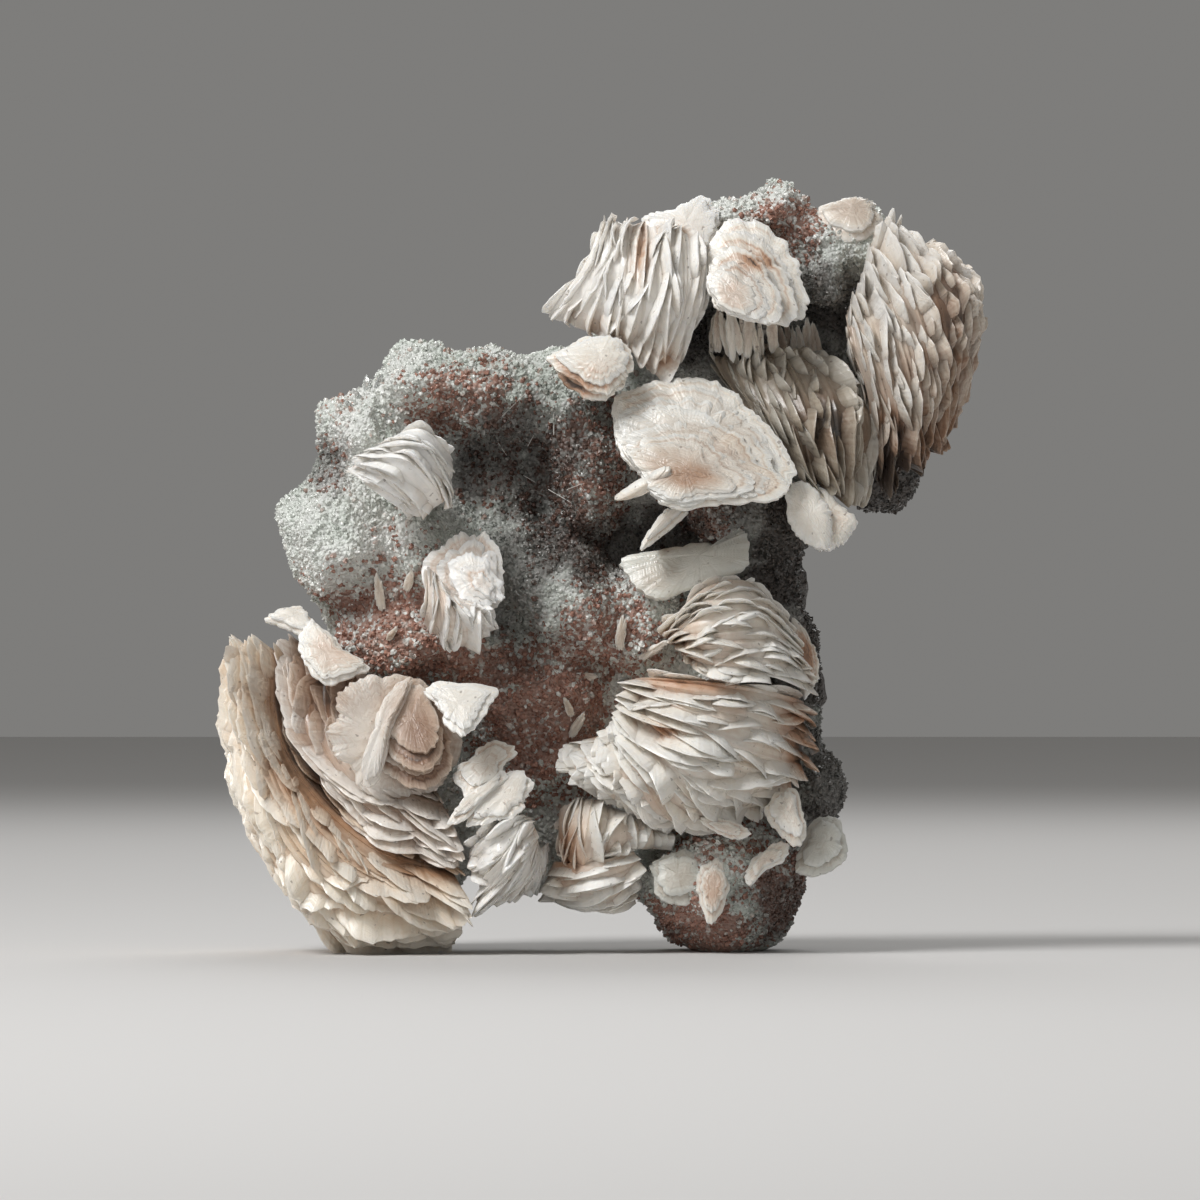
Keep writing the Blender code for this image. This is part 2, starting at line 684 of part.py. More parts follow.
def apply_modifiers(obj):
    """Replaces the object's mesh by the one that its modifiers make."""
    graph = bpy.context.evaluated_depsgraph_get()
    data = bpy.data.meshes.new_from_object(obj.evaluated_get(graph))
    obj.modifiers.clear()
    old = obj.data
    obj.data = data
    bpy.data.meshes.remove(old)


def boolean(obj, others, operation):
    """Joins or cuts the object with others and removes those."""
    group = bpy.data.collections.new("operands")
    bpy.context.scene.collection.children.link(group)
    for other in others:
        group.objects.link(other)
    step = obj.modifiers.new(operation, "BOOLEAN")
    step.operation = operation
    step.solver = "EXACT"
    step.use_self = True
    step.operand_type = "COLLECTION"
    step.collection = group
    apply_modifiers(obj)
    for other in others:
        bpy.data.objects.remove(other, do_unlink=True)
    bpy.data.collections.remove(group)


def spline_weights(count, t):
    """Catmull-Rom weights of evenly spaced points, for each t from 0 to 1."""
    x = np.clip(t, 0.0, 1.0) * (count - 1)
    first = np.minimum(x.astype(int), count - 2)
    f = x - first
    shares = (
        -0.5 * f + f**2 - 0.5 * f**3,
        1 - 2.5 * f**2 + 1.5 * f**3,
        0.5 * f + 2 * f**2 - 1.5 * f**3,
        -0.5 * f**2 + 0.5 * f**3,
    )
    weights = np.zeros((len(x), count))
    for offset, share in zip((-1, 0, 1, 2), shares):
        column = np.clip(first + offset, 0, count - 1)
        np.add.at(weights, (np.arange(len(x)), column), share)
    return weights


def fan_points(fan, u, v, reach):
    """Points of a fan: u across its lines, v along them, reach 0 at the root and 1 at the edge."""
    lines = np.array(fan["lines"], float)
    root_ends = np.array(fan["roots"], float)
    across = spline_weights(lines.shape[0], u)
    along = spline_weights(lines.shape[1], v)
    edge = np.einsum("kl,km,lmc->kc", across, along, lines)
    root = root_ends[0] + (root_ends[1] - root_ends[0]) * np.clip(u, 0, 1)[:, None]
    return root + (edge - root) * reach[:, None]


def fan_rows(fan, chance):
    """Rows of points across a fan, with a groove before each crystal's edge and after the last."""
    count = fan["crystals"]
    v = np.linspace(0.0, 1.0, EDGE_POINTS)
    rounding = 1.0 - EDGE_ROUNDING * np.abs(2 * v - 1) ** 3
    groove = np.full(EDGE_POINTS, GROOVE_REACH)
    rows = []
    for number in range(count):
        start = chance.uniform(*EDGE_START)
        stagger = 1.0 + chance.uniform(*EDGE_STAGGER)
        wave = 1.0 + chance.uniform(-EDGE_WAVE, EDGE_WAVE, EDGE_POINTS)
        lean = chance.uniform(-EDGE_LEAN, EDGE_LEAN) * (v - 0.5)
        rows.append((np.full(EDGE_POINTS, float(number)), groove))
        for side in (start, start + EDGE_WIDTH):
            rows.append((number + side + lean, stagger * wave * rounding))
    rows.append((np.full(EDGE_POINTS, float(count)), groove))
    return [fan_points(fan, u / count, v, reach) for u, reach in rows]


def fan(layout, chance):
    """A bundle of tabular crystals that are one solid: grooved in front, narrow at its root."""
    rows = fan_rows(layout, chance)
    ends = np.array(layout["roots"], float)
    mesh = bmesh.new()
    grid = [[mesh.verts.new(scene_point(p)) for p in row] for row in rows]
    last = len(grid) - 1
    half = last // 2
    root = [mesh.verts.new(scene_point(p)) for p in ends]
    foot = [root[0] if i < half else root[1] for i in range(last + 1)]
    for i in range(last):
        for j in range(EDGE_POINTS - 1):
            corners = (grid[i][j], grid[i][j + 1], grid[i + 1][j + 1], grid[i + 1][j])
            mesh.faces.new(corners)
        for side in (0, EDGE_POINTS - 1):
            if foot[i] is foot[i + 1]:
                mesh.faces.new((grid[i][side], grid[i + 1][side], foot[i]))
            else:
                mesh.faces.new((grid[i][side], grid[i + 1][side], foot[i + 1], foot[i]))
    for i in (0, last):
        for j in range(EDGE_POINTS - 1):
            mesh.faces.new((grid[i][j], grid[i][j + 1], foot[i]))
    bmesh.ops.triangulate(mesh, faces=mesh.faces[:])
    return [object_from(mesh, "fan")]


def plate(layout):
    """A tabular crystal seen on its face: domed, with a thin rim."""
    outline = np.array(layout["outline"], float)
    centre = outline.mean(axis=0)
    spokes = outline - centre
    normal = np.cross(spokes, np.roll(spokes, -1, axis=0)).sum(axis=0)
    normal /= np.linalg.norm(normal)
    if normal[1] > 0:
        normal = -normal
    half = 0.5 * layout["thickness"]
    ring = centre + spokes * PLATE_RING
    mesh = bmesh.new()
    sides = []
    front = (
        [centre + normal * (half + layout["bulge"])],
        ring + normal * (half + RING_BULGE * layout["bulge"]),
        outline + normal * half * PLATE_RIM,
    )
    back = [
        [centre - normal * half],
        ring - normal * half,
        outline - normal * half * PLATE_RIM,
    ]
    if "root" in layout:
        root = np.array(layout["root"], float)
        back[0] = [root]
        back[1] = root + (ring - root) * PLATE_FOOT
    for levels in (front, back):
        sides.append([[mesh.verts.new(scene_point(p)) for p in level] for level in levels])
    count = len(outline)
    for top, ring_points, rim in sides:
        for i in range(count):
            j = (i + 1) % count
            mesh.faces.new((top[0], ring_points[i], ring_points[j]))
            mesh.faces.new((ring_points[i], rim[i], rim[j], ring_points[j]))
    for i in range(count):
        j = (i + 1) % count
        mesh.faces.new((sides[0][2][i], sides[1][2][i], sides[1][2][j], sides[0][2][j]))
    bmesh.ops.triangulate(mesh, faces=mesh.faces[:])
    return [object_from(mesh, "plate")]


def keep_largest(obj):
    """Drops the crumbs that a cut leaves and keeps the body with the most corners."""
    mesh = bmesh.new()
    mesh.from_mesh(obj.data)
    bmesh.ops.triangulate(mesh, faces=mesh.faces[:])
    left = set(mesh.verts)
    bodies = []
    while left:
        body = {left.pop()}
        edge = list(body)
        while edge:
            for link in edge.pop().link_edges:
                for end in link.verts:
                    if end not in body:
                        body.add(end)
                        edge.append(end)
        left -= body
        bodies.append(body)
    bodies.sort(key=len, reverse=True)
    crumbs = [vert for body in bodies[1:] for vert in body]
    bmesh.ops.delete(mesh, geom=crumbs, context="VERTS")
    mesh.to_mesh(obj.data)
    mesh.free()


def ground_block():
    mesh = bmesh.new()
    bmesh.ops.create_cube(mesh, size=1.0)
    for vert in mesh.verts:
        x, y, z = vert.co
        vert.co = Vector((x * GROUND_CUT[0], y * GROUND_CUT[1], (z - 0.5) * GROUND_CUT[2])) * MM
    return object_from(mesh, "ground")


def quartz_body():
    """Ellipsoids melted into one skin with low knobs, and cut off at the ground."""
    mesh = bmesh.new()
    for x, y, z, across, deep, high in QUARTZ_LUMPS:
        ball = bmesh.ops.create_icosphere(mesh, subdivisions=LUMP_DIVISIONS, radius=1.0)
        for vert in ball["verts"]:
            a, b, c = vert.co
            vert.co = scene_point((x + a * across, y + b * deep, z + c * high))
    body = object_from(mesh, "quartz_matrix")
    skin = body.modifiers.new("skin", "REMESH")
    skin.mode = "VOXEL"
    skin.voxel_size = SKIN_GRID * MM
    soft = body.modifiers.new("soft", "SMOOTH")
    soft.iterations = SKIN_SMOOTHING
    apply_modifiers(body)
    mesh = bmesh.new()
    mesh.from_mesh(body.data)
    for vert in mesh.verts:
        place = vert.co / (KNOB_SIZE * MM)
        knob = noise.fractal(place, KNOB_ROUGHNESS, KNOB_FINENESS, KNOB_LAYERS)
        vert.co = vert.co + vert.normal * knob * KNOB_HEIGHT * MM
    mesh.to_mesh(body.data)
    mesh.free()
    fewer = body.modifiers.new("fewer", "DECIMATE")
    fewer.ratio = QUARTZ_TRIANGLES / (2 * len(body.data.polygons))
    apply_modifiers(body)
    return body


def inflated(body):
    """A copy of the quartz that is larger by the free space around it."""
    mesh = bmesh.new()
    mesh.from_mesh(body.data)
    mesh.normal_update()
    grown = [vert.co + vert.normal * SEAT_GAP * MM for vert in mesh.verts]
    for vert, place in zip(mesh.verts, grown):
        vert.co = place
    return object_from(mesh, "seat")


def crest(name, parts, body, number):
    """Baryte that has grown together: its fans and plates joined, then cut free of the quartz."""
    chance = np.random.default_rng(SEED + number)
    solids = []
    for layout in parts:
        solids += fan(layout, chance) if "lines" in layout else plate(layout)
    made = solids[0]
    made.name = name
    if solids[1:]:
        boolean(made, solids[1:], "UNION")
    boolean(made, [inflated(body), ground_block()], "DIFFERENCE")
    keep_largest(made)
    return made


def main():
    clear_scene()
    quartz = material("drusy_quartz", QUARTZ_COLOUR, 0.35)
    baryte = material("white_baryte", BARYTE_COLOUR, 0.45)
    body = quartz_body()
    for number, (name, parts) in enumerate(CRESTS.items()):
        made = crest(name, parts, body, number)
        made.data.materials.clear()
        made.data.materials.append(baryte)
    boolean(body, [ground_block()], "DIFFERENCE")
    keep_largest(body)
    body.data.materials.clear()
    body.data.materials.append(quartz)


main()
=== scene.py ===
"""Looks of the baryte specimen with quartz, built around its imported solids.

Layout points are millimetres: x to the right, y away from the viewer, z up from the ground.
"""

import json
import math

import bmesh
import bpy
import numpy as np
from mathutils import Matrix, Vector, noise

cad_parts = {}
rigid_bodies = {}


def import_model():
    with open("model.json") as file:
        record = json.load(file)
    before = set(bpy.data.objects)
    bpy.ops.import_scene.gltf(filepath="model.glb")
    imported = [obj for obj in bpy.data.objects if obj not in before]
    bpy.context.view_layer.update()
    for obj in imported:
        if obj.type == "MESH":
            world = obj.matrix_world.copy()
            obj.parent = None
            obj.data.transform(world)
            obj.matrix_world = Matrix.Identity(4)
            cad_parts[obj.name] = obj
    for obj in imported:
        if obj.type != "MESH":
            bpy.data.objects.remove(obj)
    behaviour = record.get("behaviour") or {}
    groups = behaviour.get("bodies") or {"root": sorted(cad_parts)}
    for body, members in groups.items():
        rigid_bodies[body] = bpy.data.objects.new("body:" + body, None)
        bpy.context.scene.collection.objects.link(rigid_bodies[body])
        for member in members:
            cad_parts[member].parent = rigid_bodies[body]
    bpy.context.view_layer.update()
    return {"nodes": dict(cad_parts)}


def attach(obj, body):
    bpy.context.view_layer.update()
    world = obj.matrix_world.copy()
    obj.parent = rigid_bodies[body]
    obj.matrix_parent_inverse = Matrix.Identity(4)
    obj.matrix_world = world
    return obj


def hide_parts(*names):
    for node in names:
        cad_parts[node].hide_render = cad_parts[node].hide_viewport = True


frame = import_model()

# View and light. The specimen is seen straight from the front with a long lens, on a plain pale
# floor. A soft lamp stands at the upper left, a large weak one in front and a third one behind.

# A millimetre in metres
MM = 0.001
# In metres: width of the view at the specimen, the point that it looks at, the camera's distance
# from there, and how far the camera sees
FRAME_WIDTH = 0.168
VIEW_MIDDLE = Vector((-0.00053, 0.0, 0.0491))
VIEW_DISTANCE = 1.6
VIEW_REACH = 20.0
# Width of the camera's sensor in mm
SENSOR = 36.0
LAMPS = (
    # name, place and size in metres, power in watts
    ("key_lamp", (-0.55, -0.50, 0.85), 0.45, 10.0),
    ("fill_lamp", (-0.10, -1.30, 0.60), 1.0, 1.6),
    ("back_lamp", (0.10, 0.80, 0.75), 0.6, 3.0),
)
FLOOR_COLOUR = (0.62, 0.61, 0.60, 1.0)
FLOOR_SHADE = (0.58, 0.57, 0.56, 1.0)
# Waves of the floor's colour per metre, and half its side in metres
FLOOR_CLOUDS = 3.0
FLOOR_HALF = 2.5
ROOM_COLOUR = (0.63, 0.62, 0.60, 1.0)
ROOM_LIGHT = 0.33

camera = bpy.data.objects.new("camera", bpy.data.cameras.new("camera"))
bpy.context.scene.collection.objects.link(camera)
camera.data.sensor_width = SENSOR
camera.data.lens = SENSOR * VIEW_DISTANCE / FRAME_WIDTH
camera.data.clip_end = VIEW_REACH
camera.location = VIEW_MIDDLE - Vector((0.0, VIEW_DISTANCE, 0.0))
camera.rotation_euler = (math.pi / 2, 0.0, 0.0)
bpy.context.scene.camera = camera

for name, place, size, power in LAMPS:
    lamp = bpy.data.objects.new(name, bpy.data.lights.new(name, "AREA"))
    bpy.context.scene.collection.objects.link(lamp)
    lamp.data.size = size
    lamp.data.energy = power
    lamp.location = place
    lamp.rotation_euler = (Vector(place) - VIEW_MIDDLE).to_track_quat("Z", "Y").to_euler()

room = bpy.data.worlds.new("room")
room.use_nodes = True
room.node_tree.nodes["Background"].inputs["Color"].default_value = ROOM_COLOUR
room.node_tree.nodes["Background"].inputs["Strength"].default_value = ROOM_LIGHT
bpy.context.scene.world = room
bpy.context.scene.view_settings.view_transform = "Standard"


class Socket:
    """A socket of a material. Python's operators on it add Math nodes."""

    def __init__(self, finish, socket):
        self.finish = finish
        self.socket = socket

    def math(self, operation, first, second):
        return self.finish.node("ShaderNodeMath", {"operation": operation}, {0: first, 1: second})

    def __add__(self, other):
        return self.math("ADD", self, other)

    __radd__ = __add__

    def __sub__(self, other):
        return self.math("SUBTRACT", self, other)

    def __rsub__(self, other):
        return self.math("SUBTRACT", other, self)

    def __mul__(self, other):
        return self.math("MULTIPLY", self, other)

    __rmul__ = __mul__


class Finish:
    """A material while it is put together. The scale of a grain counts its waves per metre."""

    def __init__(self, name, **constants):
        self.material = bpy.data.materials.new(name)
        self.material.use_nodes = True
        self.tree = self.material.node_tree
        self.shader = self.tree.nodes["Principled BSDF"]
        for socket, value in constants.items():
            self.shader.inputs[socket.replace("_", " ")].default_value = value

    def node(self, kind, settings=None, sockets=None, out=0):
        made = self.tree.nodes.new(kind)
        for setting, value in (settings or {}).items():
            if setting == "stops":
                self.set_stops(made.color_ramp, value)
            else:
                setattr(made, setting, value)
        for socket, value in (sockets or {}).items():
            self.feed(made.inputs[socket], value)
        return Socket(self, made.outputs[out])

    def set_stops(self, ramp, stops):
        while len(ramp.elements) < len(stops):
            ramp.elements.new(0.5)
        for element, (position, colour) in zip(ramp.elements, stops):
            element.position = position
            element.color = (*colour, 1.0)

    def feed(self, socket, value):
        if isinstance(value, Socket):
            self.tree.links.new(value.socket, socket)
        else:
            socket.default_value = value

    def place(self):
        return self.node("ShaderNodeTexCoord", out="Object")

    def grain(self, scale, detail=3.0, roughness=0.5):
        sockets = {"Vector": self.place(), "Scale": scale, "Detail": detail}
        sockets["Roughness"] = roughness
        return self.node("ShaderNodeTexNoise", None, sockets)

    def attribute(self, name):
        return self.node("ShaderNodeAttribute", {"attribute_name": name}, out="Fac")

    def ramp(self, value, *stops):
        return self.node("ShaderNodeValToRGB", {"stops": stops}, {"Fac": value})

    def band(self, value, low, high):
        sockets = {"Value": value, "From Min": low, "From Max": high}
        return self.node("ShaderNodeMapRange", {"clamp": True}, sockets)

    def mix(self, share, first, second, blend="MIX"):
        settings = {"data_type": "RGBA", "blend_type": blend}
        return self.node("ShaderNodeMix", settings, {0: share, 6: first, 7: second}, 2)

    def bump(self, height, strength, distance):
        sockets = {"Height": height, "Strength": strength, "Distance": distance}
        self.feed(self.shader.inputs["Normal"], self.node("ShaderNodeBump", None, sockets))

    def colour(self, value):
        self.feed(self.shader.inputs["Base Color"], value)

    def roughness(self, value):
        self.feed(self.shader.inputs["Roughness"], value)


floor_mesh = bmesh.new()
bmesh.ops.create_grid(floor_mesh, x_segments=8, y_segments=8, size=FLOOR_HALF)
floor_data = bpy.data.meshes.new("floor")
floor_mesh.to_mesh(floor_data)
floor_mesh.free()
floor = bpy.data.objects.new("floor", floor_data)
bpy.context.scene.collection.objects.link(floor)
floor_finish = Finish("pale_floor", Roughness=0.7)
floor_finish.colour(
    floor_finish.mix(floor_finish.grain(FLOOR_CLOUDS) * 0.1, FLOOR_COLOUR, FLOOR_SHADE)
)
floor.data.materials.append(floor_finish.material)

# Quartz matrix. One knobbly body of massive quartz, which the imported solid gives in large facets;
# its skin is rounded and roughened here. The colour is grey-green, with red-brown iron stain, and
# near-black painted shade in the recesses and under the crests.

# Step of the skin's grid in mm, rounds of smoothing, and size and height of its relief in mm
SKIN_VOXEL = 0.72
SKIN_ROUNDS = 6
SKIN_RELIEF = ((5.0, 0.55), (1.6, 0.28), (0.7, 0.12))
# On the back the matrix was broken off the rock: size and height of the hollows there in mm, and
# the level between a hollow and a hump
BROKEN_RELIEF = ((7.0, 2.2), (2.6, 0.9), (1.1, 0.35))
HOLLOW_LEVEL = 0.4
# In mm: how far back the break begins and is full, and how far its border wanders over what length
BROKEN_FROM = 9.0
BROKEN_FULL = 14.0
BORDER_WANDER = 3.0
BORDER_LENGTH = 9.0
# Heights above the ground in mm below which the relief fades out, and no druse grows
FLAT_FOOT = 1.5
BARE_FOOT = 1.0
# Size of the gaps in the druse of the back, in mm, and how thickly it covers the rest there
BARE_PATCHES = 8.0
BACK_COVER = 0.5
# Size in mm of the waves in a patch's border, how far back the two kinds of patch reach, and the
# depth over which they fade there
PATCH_WAVES = 4.0
RUST_REACH = 14.0
SHADE_REACH = 28.0
PATCH_FADE = 10.0
# Tone of the whole skin, where each crystal of the druse has its own
SKIN_TONE = 0.6
# Layout x and y of the frame's origin
LAYOUT_MIDDLE = (0.39, 1.355)
# Where the iron stain lies on the front: middle x and z, half sizes, strength
RUST_PATCHES = (
    (-19.0, 77.0, 7.5, 5.0, 0.75),
    (-2.5, 66.0, 7.0, 11.0, 0.7),
    (-11.0, 67.0, 9.0, 6.0, 0.5),
    (-31.0, 46.5, 9.0, 5.5, 0.8),
    (-24.0, 41.5, 11.0, 4.0, 0.85),
    (1.0, 45.0, 7.0, 8.0, 0.75),
    (-8.0, 32.0, 9.0, 10.0, 0.95),
    (-15.5, 40.0, 8.0, 4.0, 0.8),
    (-27.5, 55.0, 4.0, 6.0, 0.4),
    (-36.5, 77.0, 3.0, 3.0, 0.35),
    (-38.0, 68.0, 3.5, 4.0, 0.35),
    (13.5, 61.0, 4.5, 4.0, 0.8),
    (26.0, 101.0, 5.0, 4.5, 0.8),
    (18.0, 15.0, 7.0, 5.0, 0.5),
    (14.0, 3.5, 9.0, 4.0, 0.9),
    (25.0, 8.0, 4.0, 5.0, 0.9),
)
# Painted shade: where the quartz is painted nearly black, inside the bowl (whose quartz is also
# darker), at the dark wall and under the crests, where shadow falls
SHADE_PATCHES = (
    (-12.0, 52.0, 5.5, 9.0, 0.7),
    (-2.0, 57.0, 9.0, 5.0, 0.9),
    (9.0, 59.0, 6.0, 4.0, 0.9),
    (-4.0, 60.0, 8.0, 3.0, 0.5),
    (0.0, 70.0, 5.0, 8.0, 0.5),
    (-11.0, 68.5, 9.5, 8.0, 0.85),
    (-9.0, 62.5, 8.0, 3.5, 0.8),
    (26.0, 55.0, 7.0, 10.0, 1.0),
    (27.0, 40.0, 6.0, 12.0, 0.9),
    (31.5, 90.5, 5.5, 5.5, 0.9),
    (17.0, 86.0, 8.0, 4.0, 0.9),
    (26.0, 6.0, 6.0, 5.0, 0.8),
    (-38.0, 68.0, 2.5, 3.0, 0.6),
    (32.0, 22.0, 5.0, 8.0, 0.9),
    (40.5, 62.5, 7.5, 6.5, 1.0),
    (19.0, 60.0, 6.0, 4.0, 0.7),
    (30.5, 45.0, 3.5, 14.0, 1.0),
    (21.0, 83.5, 12.0, 3.0, 0.9),
)


def patch_strength(points, patches, behind):
    """How strongly each point lies in a patch, from 0 to 1; none lies further back than behind."""
    found = np.zeros(len(points))
    waves = [noise.fractal(Vector(p) / PATCH_WAVES, 0.8, 2.0, 4) for p in points.tolist()]
    ragged = np.array(waves)
    for x, z, across, high, strength in patches:
        away = ((points[:, 0] - x) / across) ** 2 + ((points[:, 2] - z) / high) ** 2
        cover = np.exp(-0.8 * away) + 0.5 * ragged * np.exp(-0.4 * away)
        found = np.maximum(found, strength * np.clip(1.5 * cover, 0.0, 1.0))
    return found * np.clip((behind - points[:, 1]) / PATCH_FADE, 0.0, 1.0)


def mesh_points(data):
    """A mesh's corners in millimetres of the layout."""
    places = np.empty(3 * len(data.vertices), np.float32)
    data.vertices.foreach_get("co", places)
    return places.reshape(-1, 3) / MM + (*LAYOUT_MIDDLE, 0.0)


def store(data, name, values):
    """Give each corner of a mesh its value, for the material to read by name."""
    attribute = data.attributes.new(name, "FLOAT", "POINT")
    attribute.data.foreach_set("value", np.asarray(values, np.float32))


def settled(obj):
    """Give the object the result of its modifiers as its own mesh."""
    graph = bpy.context.evaluated_depsgraph_get()
    data = bpy.data.meshes.new_from_object(obj.evaluated_get(graph))
    obj.modifiers.clear()
    obj.data = data


skin_mesh = bmesh.new()
skin_mesh.from_mesh(frame["nodes"]["quartz_matrix"].data)
bmesh.ops.remove_doubles(skin_mesh, verts=skin_mesh.verts[:], dist=0.01 * MM)
skin_data = bpy.data.meshes.new("quartz_skin")
skin_mesh.to_mesh(skin_data)
skin_mesh.free()
quartz = bpy.data.objects.new("quartz_body", skin_data)
bpy.context.scene.collection.objects.link(quartz)
grid = quartz.modifiers.new("grid", "REMESH")
grid.mode = "VOXEL"
grid.voxel_size = SKIN_VOXEL * MM
soft = quartz.modifiers.new("soft", "SMOOTH")
soft.iterations = SKIN_ROUNDS
settled(quartz)

skin_mesh = bmesh.new()
skin_mesh.from_mesh(quartz.data)
skin_mesh.normal_update()
moved = []
broken = []
for vert in skin_mesh.verts:
    lift = 0.0
    for size, height in SKIN_RELIEF:
        lift += height * noise.noise(vert.co / (size * MM))
    wander = BORDER_WANDER * noise.noise(vert.co / (BORDER_LENGTH * MM))
    behind = vert.co.y / MM + LAYOUT_MIDDLE[1] + wander
    back = min(1.0, max(0.0, (behind - BROKEN_FROM) / (BROKEN_FULL - BROKEN_FROM)))
    if back > 0.0:
        for size, height in BROKEN_RELIEF:
            hollow = noise.voronoi(vert.co / (size * MM))[0][0] - HOLLOW_LEVEL
            lift += back * height * hollow
    broken.append(back)
    free = min(1.0, max(0.0, vert.co.z / (FLAT_FOOT * MM)))
    moved.append(vert.co + vert.normal * lift * free * MM)
for vert, place in zip(skin_mesh.verts, moved):
    vert.co = place
    vert.co.z = max(vert.co.z, 0.0)
skin_mesh.to_mesh(quartz.data)
skin_mesh.free()
for polygon in quartz.data.polygons:
    polygon.use_smooth = True

quartz.data.materials.clear()
skin_points = mesh_points(quartz.data)
normals = np.empty(3 * len(quartz.data.vertices), np.float32)
quartz.data.vertex_normals.foreach_get("vector", normals)
normals = normals.reshape(-1, 3)
store(quartz.data, "rust", patch_strength(skin_points, RUST_PATCHES, RUST_REACH))
store(quartz.data, "shade", patch_strength(skin_points, SHADE_PATCHES, SHADE_REACH))
store(quartz.data, "tone", np.full(len(skin_points), SKIN_TONE))
broken = np.array(broken)
store(quartz.data, "broken", broken)
patchy = np.array([noise.noise(Vector(p) / BARE_PATCHES) for p in skin_points.tolist()])
cover = (1.0 - broken) + broken * np.clip(3.0 * patchy, 0.0, BACK_COVER)
# The druse is thinner where the skin faces the ground
cover = cover * np.clip(normals[:, 2] + 1.7, 0.0, 1.0)
store(quartz.data, "druse", np.where(skin_points[:, 2] > BARE_FOOT, cover, 0.0))


# How strongly quartz bends light, and its fine crystals per metre
QUARTZ_IOR = 1.54
CELLS_PER_METRE = 1700.0
# Colours: clean quartz, bare rock on the back, frosted grains, iron stain and painted shade
QUARTZ_LIGHT = (0.89, 0.90, 0.86, 1)
QUARTZ_DULL = (0.62, 0.67, 0.61, 1)
ROCK_LIGHT = (0.50, 0.47, 0.42, 1)
ROCK_DARK = (0.25, 0.22, 0.19, 1)
ROCK_RUST = (0.34, 0.18, 0.11, 1)
FROSTED = (0.86, 0.86, 0.84, 1)
STAIN_DARK = (0.19, 0.07, 0.05, 1)
STAIN_LIGHT = (0.64, 0.38, 0.29, 1)
SHADE_DARK = (0.012, 0.009, 0.008, 1)
SHADE_LIGHT = (0.08, 0.06, 0.05, 1)


def quartz_finish(name, brightness, roughness, stain_share, cells):
    """Pale grey-green quartz with red-brown stain and near-black painted shade."""
    finish = Finish(name, IOR=QUARTZ_IOR)
    places = {"Vector": finish.place(), "Scale": CELLS_PER_METRE}
    facets = finish.node("ShaderNodeTexVoronoi", None, places)
    random = finish.node("ShaderNodeTexVoronoi", None, places, "Color")
    tone = finish.attribute("tone") + (random - 0.5) * cells
    rust = finish.attribute("rust")
    shade = finish.attribute("shade")
    cloud = finish.band(finish.grain(75.0), 0.35, 0.65)
    pale = finish.mix(cloud, QUARTZ_LIGHT, QUARTZ_DULL)
    rock = finish.mix(finish.band(finish.grain(160.0), 0.4, 0.6), ROCK_LIGHT, ROCK_DARK)
    rusty = finish.band(finish.grain(95.0, 6.0), 0.52, 0.68)
    rock = finish.mix(rusty, rock, ROCK_RUST)
    pale = finish.mix(finish.attribute("broken") * 0.7, pale, rock)
    pale = finish.mix(finish.band(tone, 0.6, 1.0) * 0.7, pale, FROSTED)
    stain = finish.mix(finish.grain(2500.0), STAIN_DARK, STAIN_LIGHT)
    share = finish.band(rust * 1.1 + (finish.grain(330.0) - 0.5) * 0.8 - tone, 0.0, 0.2)
    stained = finish.mix(share * stain_share, pale, stain)
    # Painted shade: near-black colour where the shade patches lie
    dark = finish.mix(tone, SHADE_DARK, SHADE_LIGHT)
    whole = finish.mix(shade * 0.95, stained, dark)
    lightness = (brightness, brightness, brightness, 1.0)
    finish.colour(finish.mix(1.0, whole, lightness, "MULTIPLY"))
    finish.roughness(roughness + (finish.grain(300.0) - 0.5) * 0.3)
    finish.bump(finish.grain(1300.0, 4.0) * 0.5 - facets, 0.9, 0.5 * MM)
    return finish.material


quartz.data.materials.append(quartz_finish("massive_quartz", 0.9, 0.45, 0.9, 0.9))
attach(quartz, "root")
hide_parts("quartz_matrix")

# Druse. Short pointed quartz crystals, under a millimetre tall, stand all over the front and the
# sides of the matrix and in patches on its broken back. They grew on it, a little out of upright.

# Sides of each kind of crystal, and the height of its column
CRYSTAL_KINDS = ((3, 0.0), (6, 0.0), (6, 0.35))
# Smallest and largest size in mm, number on a square millimetre, and tilt in radians
DRUSE_SIZE = (0.32, 0.92)
DRUSE_DENSITY = 2.9
DRUSE_TILT = 0.7
DRUSE_SEED = 11
# Shares of a crystal's width: radius of the foot and of the neck, depth of the foot in the matrix,
# height of the point, how far it stands off the axis, and how uneven the neck is
FOOT_RADIUS = 0.5
NECK_RADIUS = 0.48
FOOT_DEPTH = 0.3
POINT_HEIGHT = 0.5
POINT_SHIFT = 0.15
NECK_SLANT = 0.12


def quartz_crystal(name, sides, height, point):
    """One crystal, a millimetre thick: a point, on a column if it has a height."""
    mesh = bmesh.new()

    def corner(radius, turn, z):
        return mesh.verts.new((radius * math.cos(turn), radius * math.sin(turn), z))

    turns = [2 * math.pi * side / sides for side in range(sides)]
    foot = [corner(FOOT_RADIUS, turn, -FOOT_DEPTH) for turn in turns]
    neck = foot
    if height > 0.0:
        rise = [height + NECK_SLANT * math.cos(3 * turn + point) for turn in turns]
        neck = [corner(NECK_RADIUS, turn, z) for turn, z in zip(turns, rise)]
    tip = corner(POINT_SHIFT, point, height + POINT_HEIGHT)
    for side in range(sides):
        following = (side + 1) % sides
        if height > 0.0:
            mesh.faces.new((foot[side], foot[following], neck[following], neck[side]))
        mesh.faces.new((neck[side], neck[following], tip))
    mesh.faces.new(foot[::-1])
    mesh.transform(Matrix.Scale(MM, 4))
    data = bpy.data.meshes.new(name)
    mesh.to_mesh(data)
    mesh.free()
    return bpy.data.objects.new(name, data)


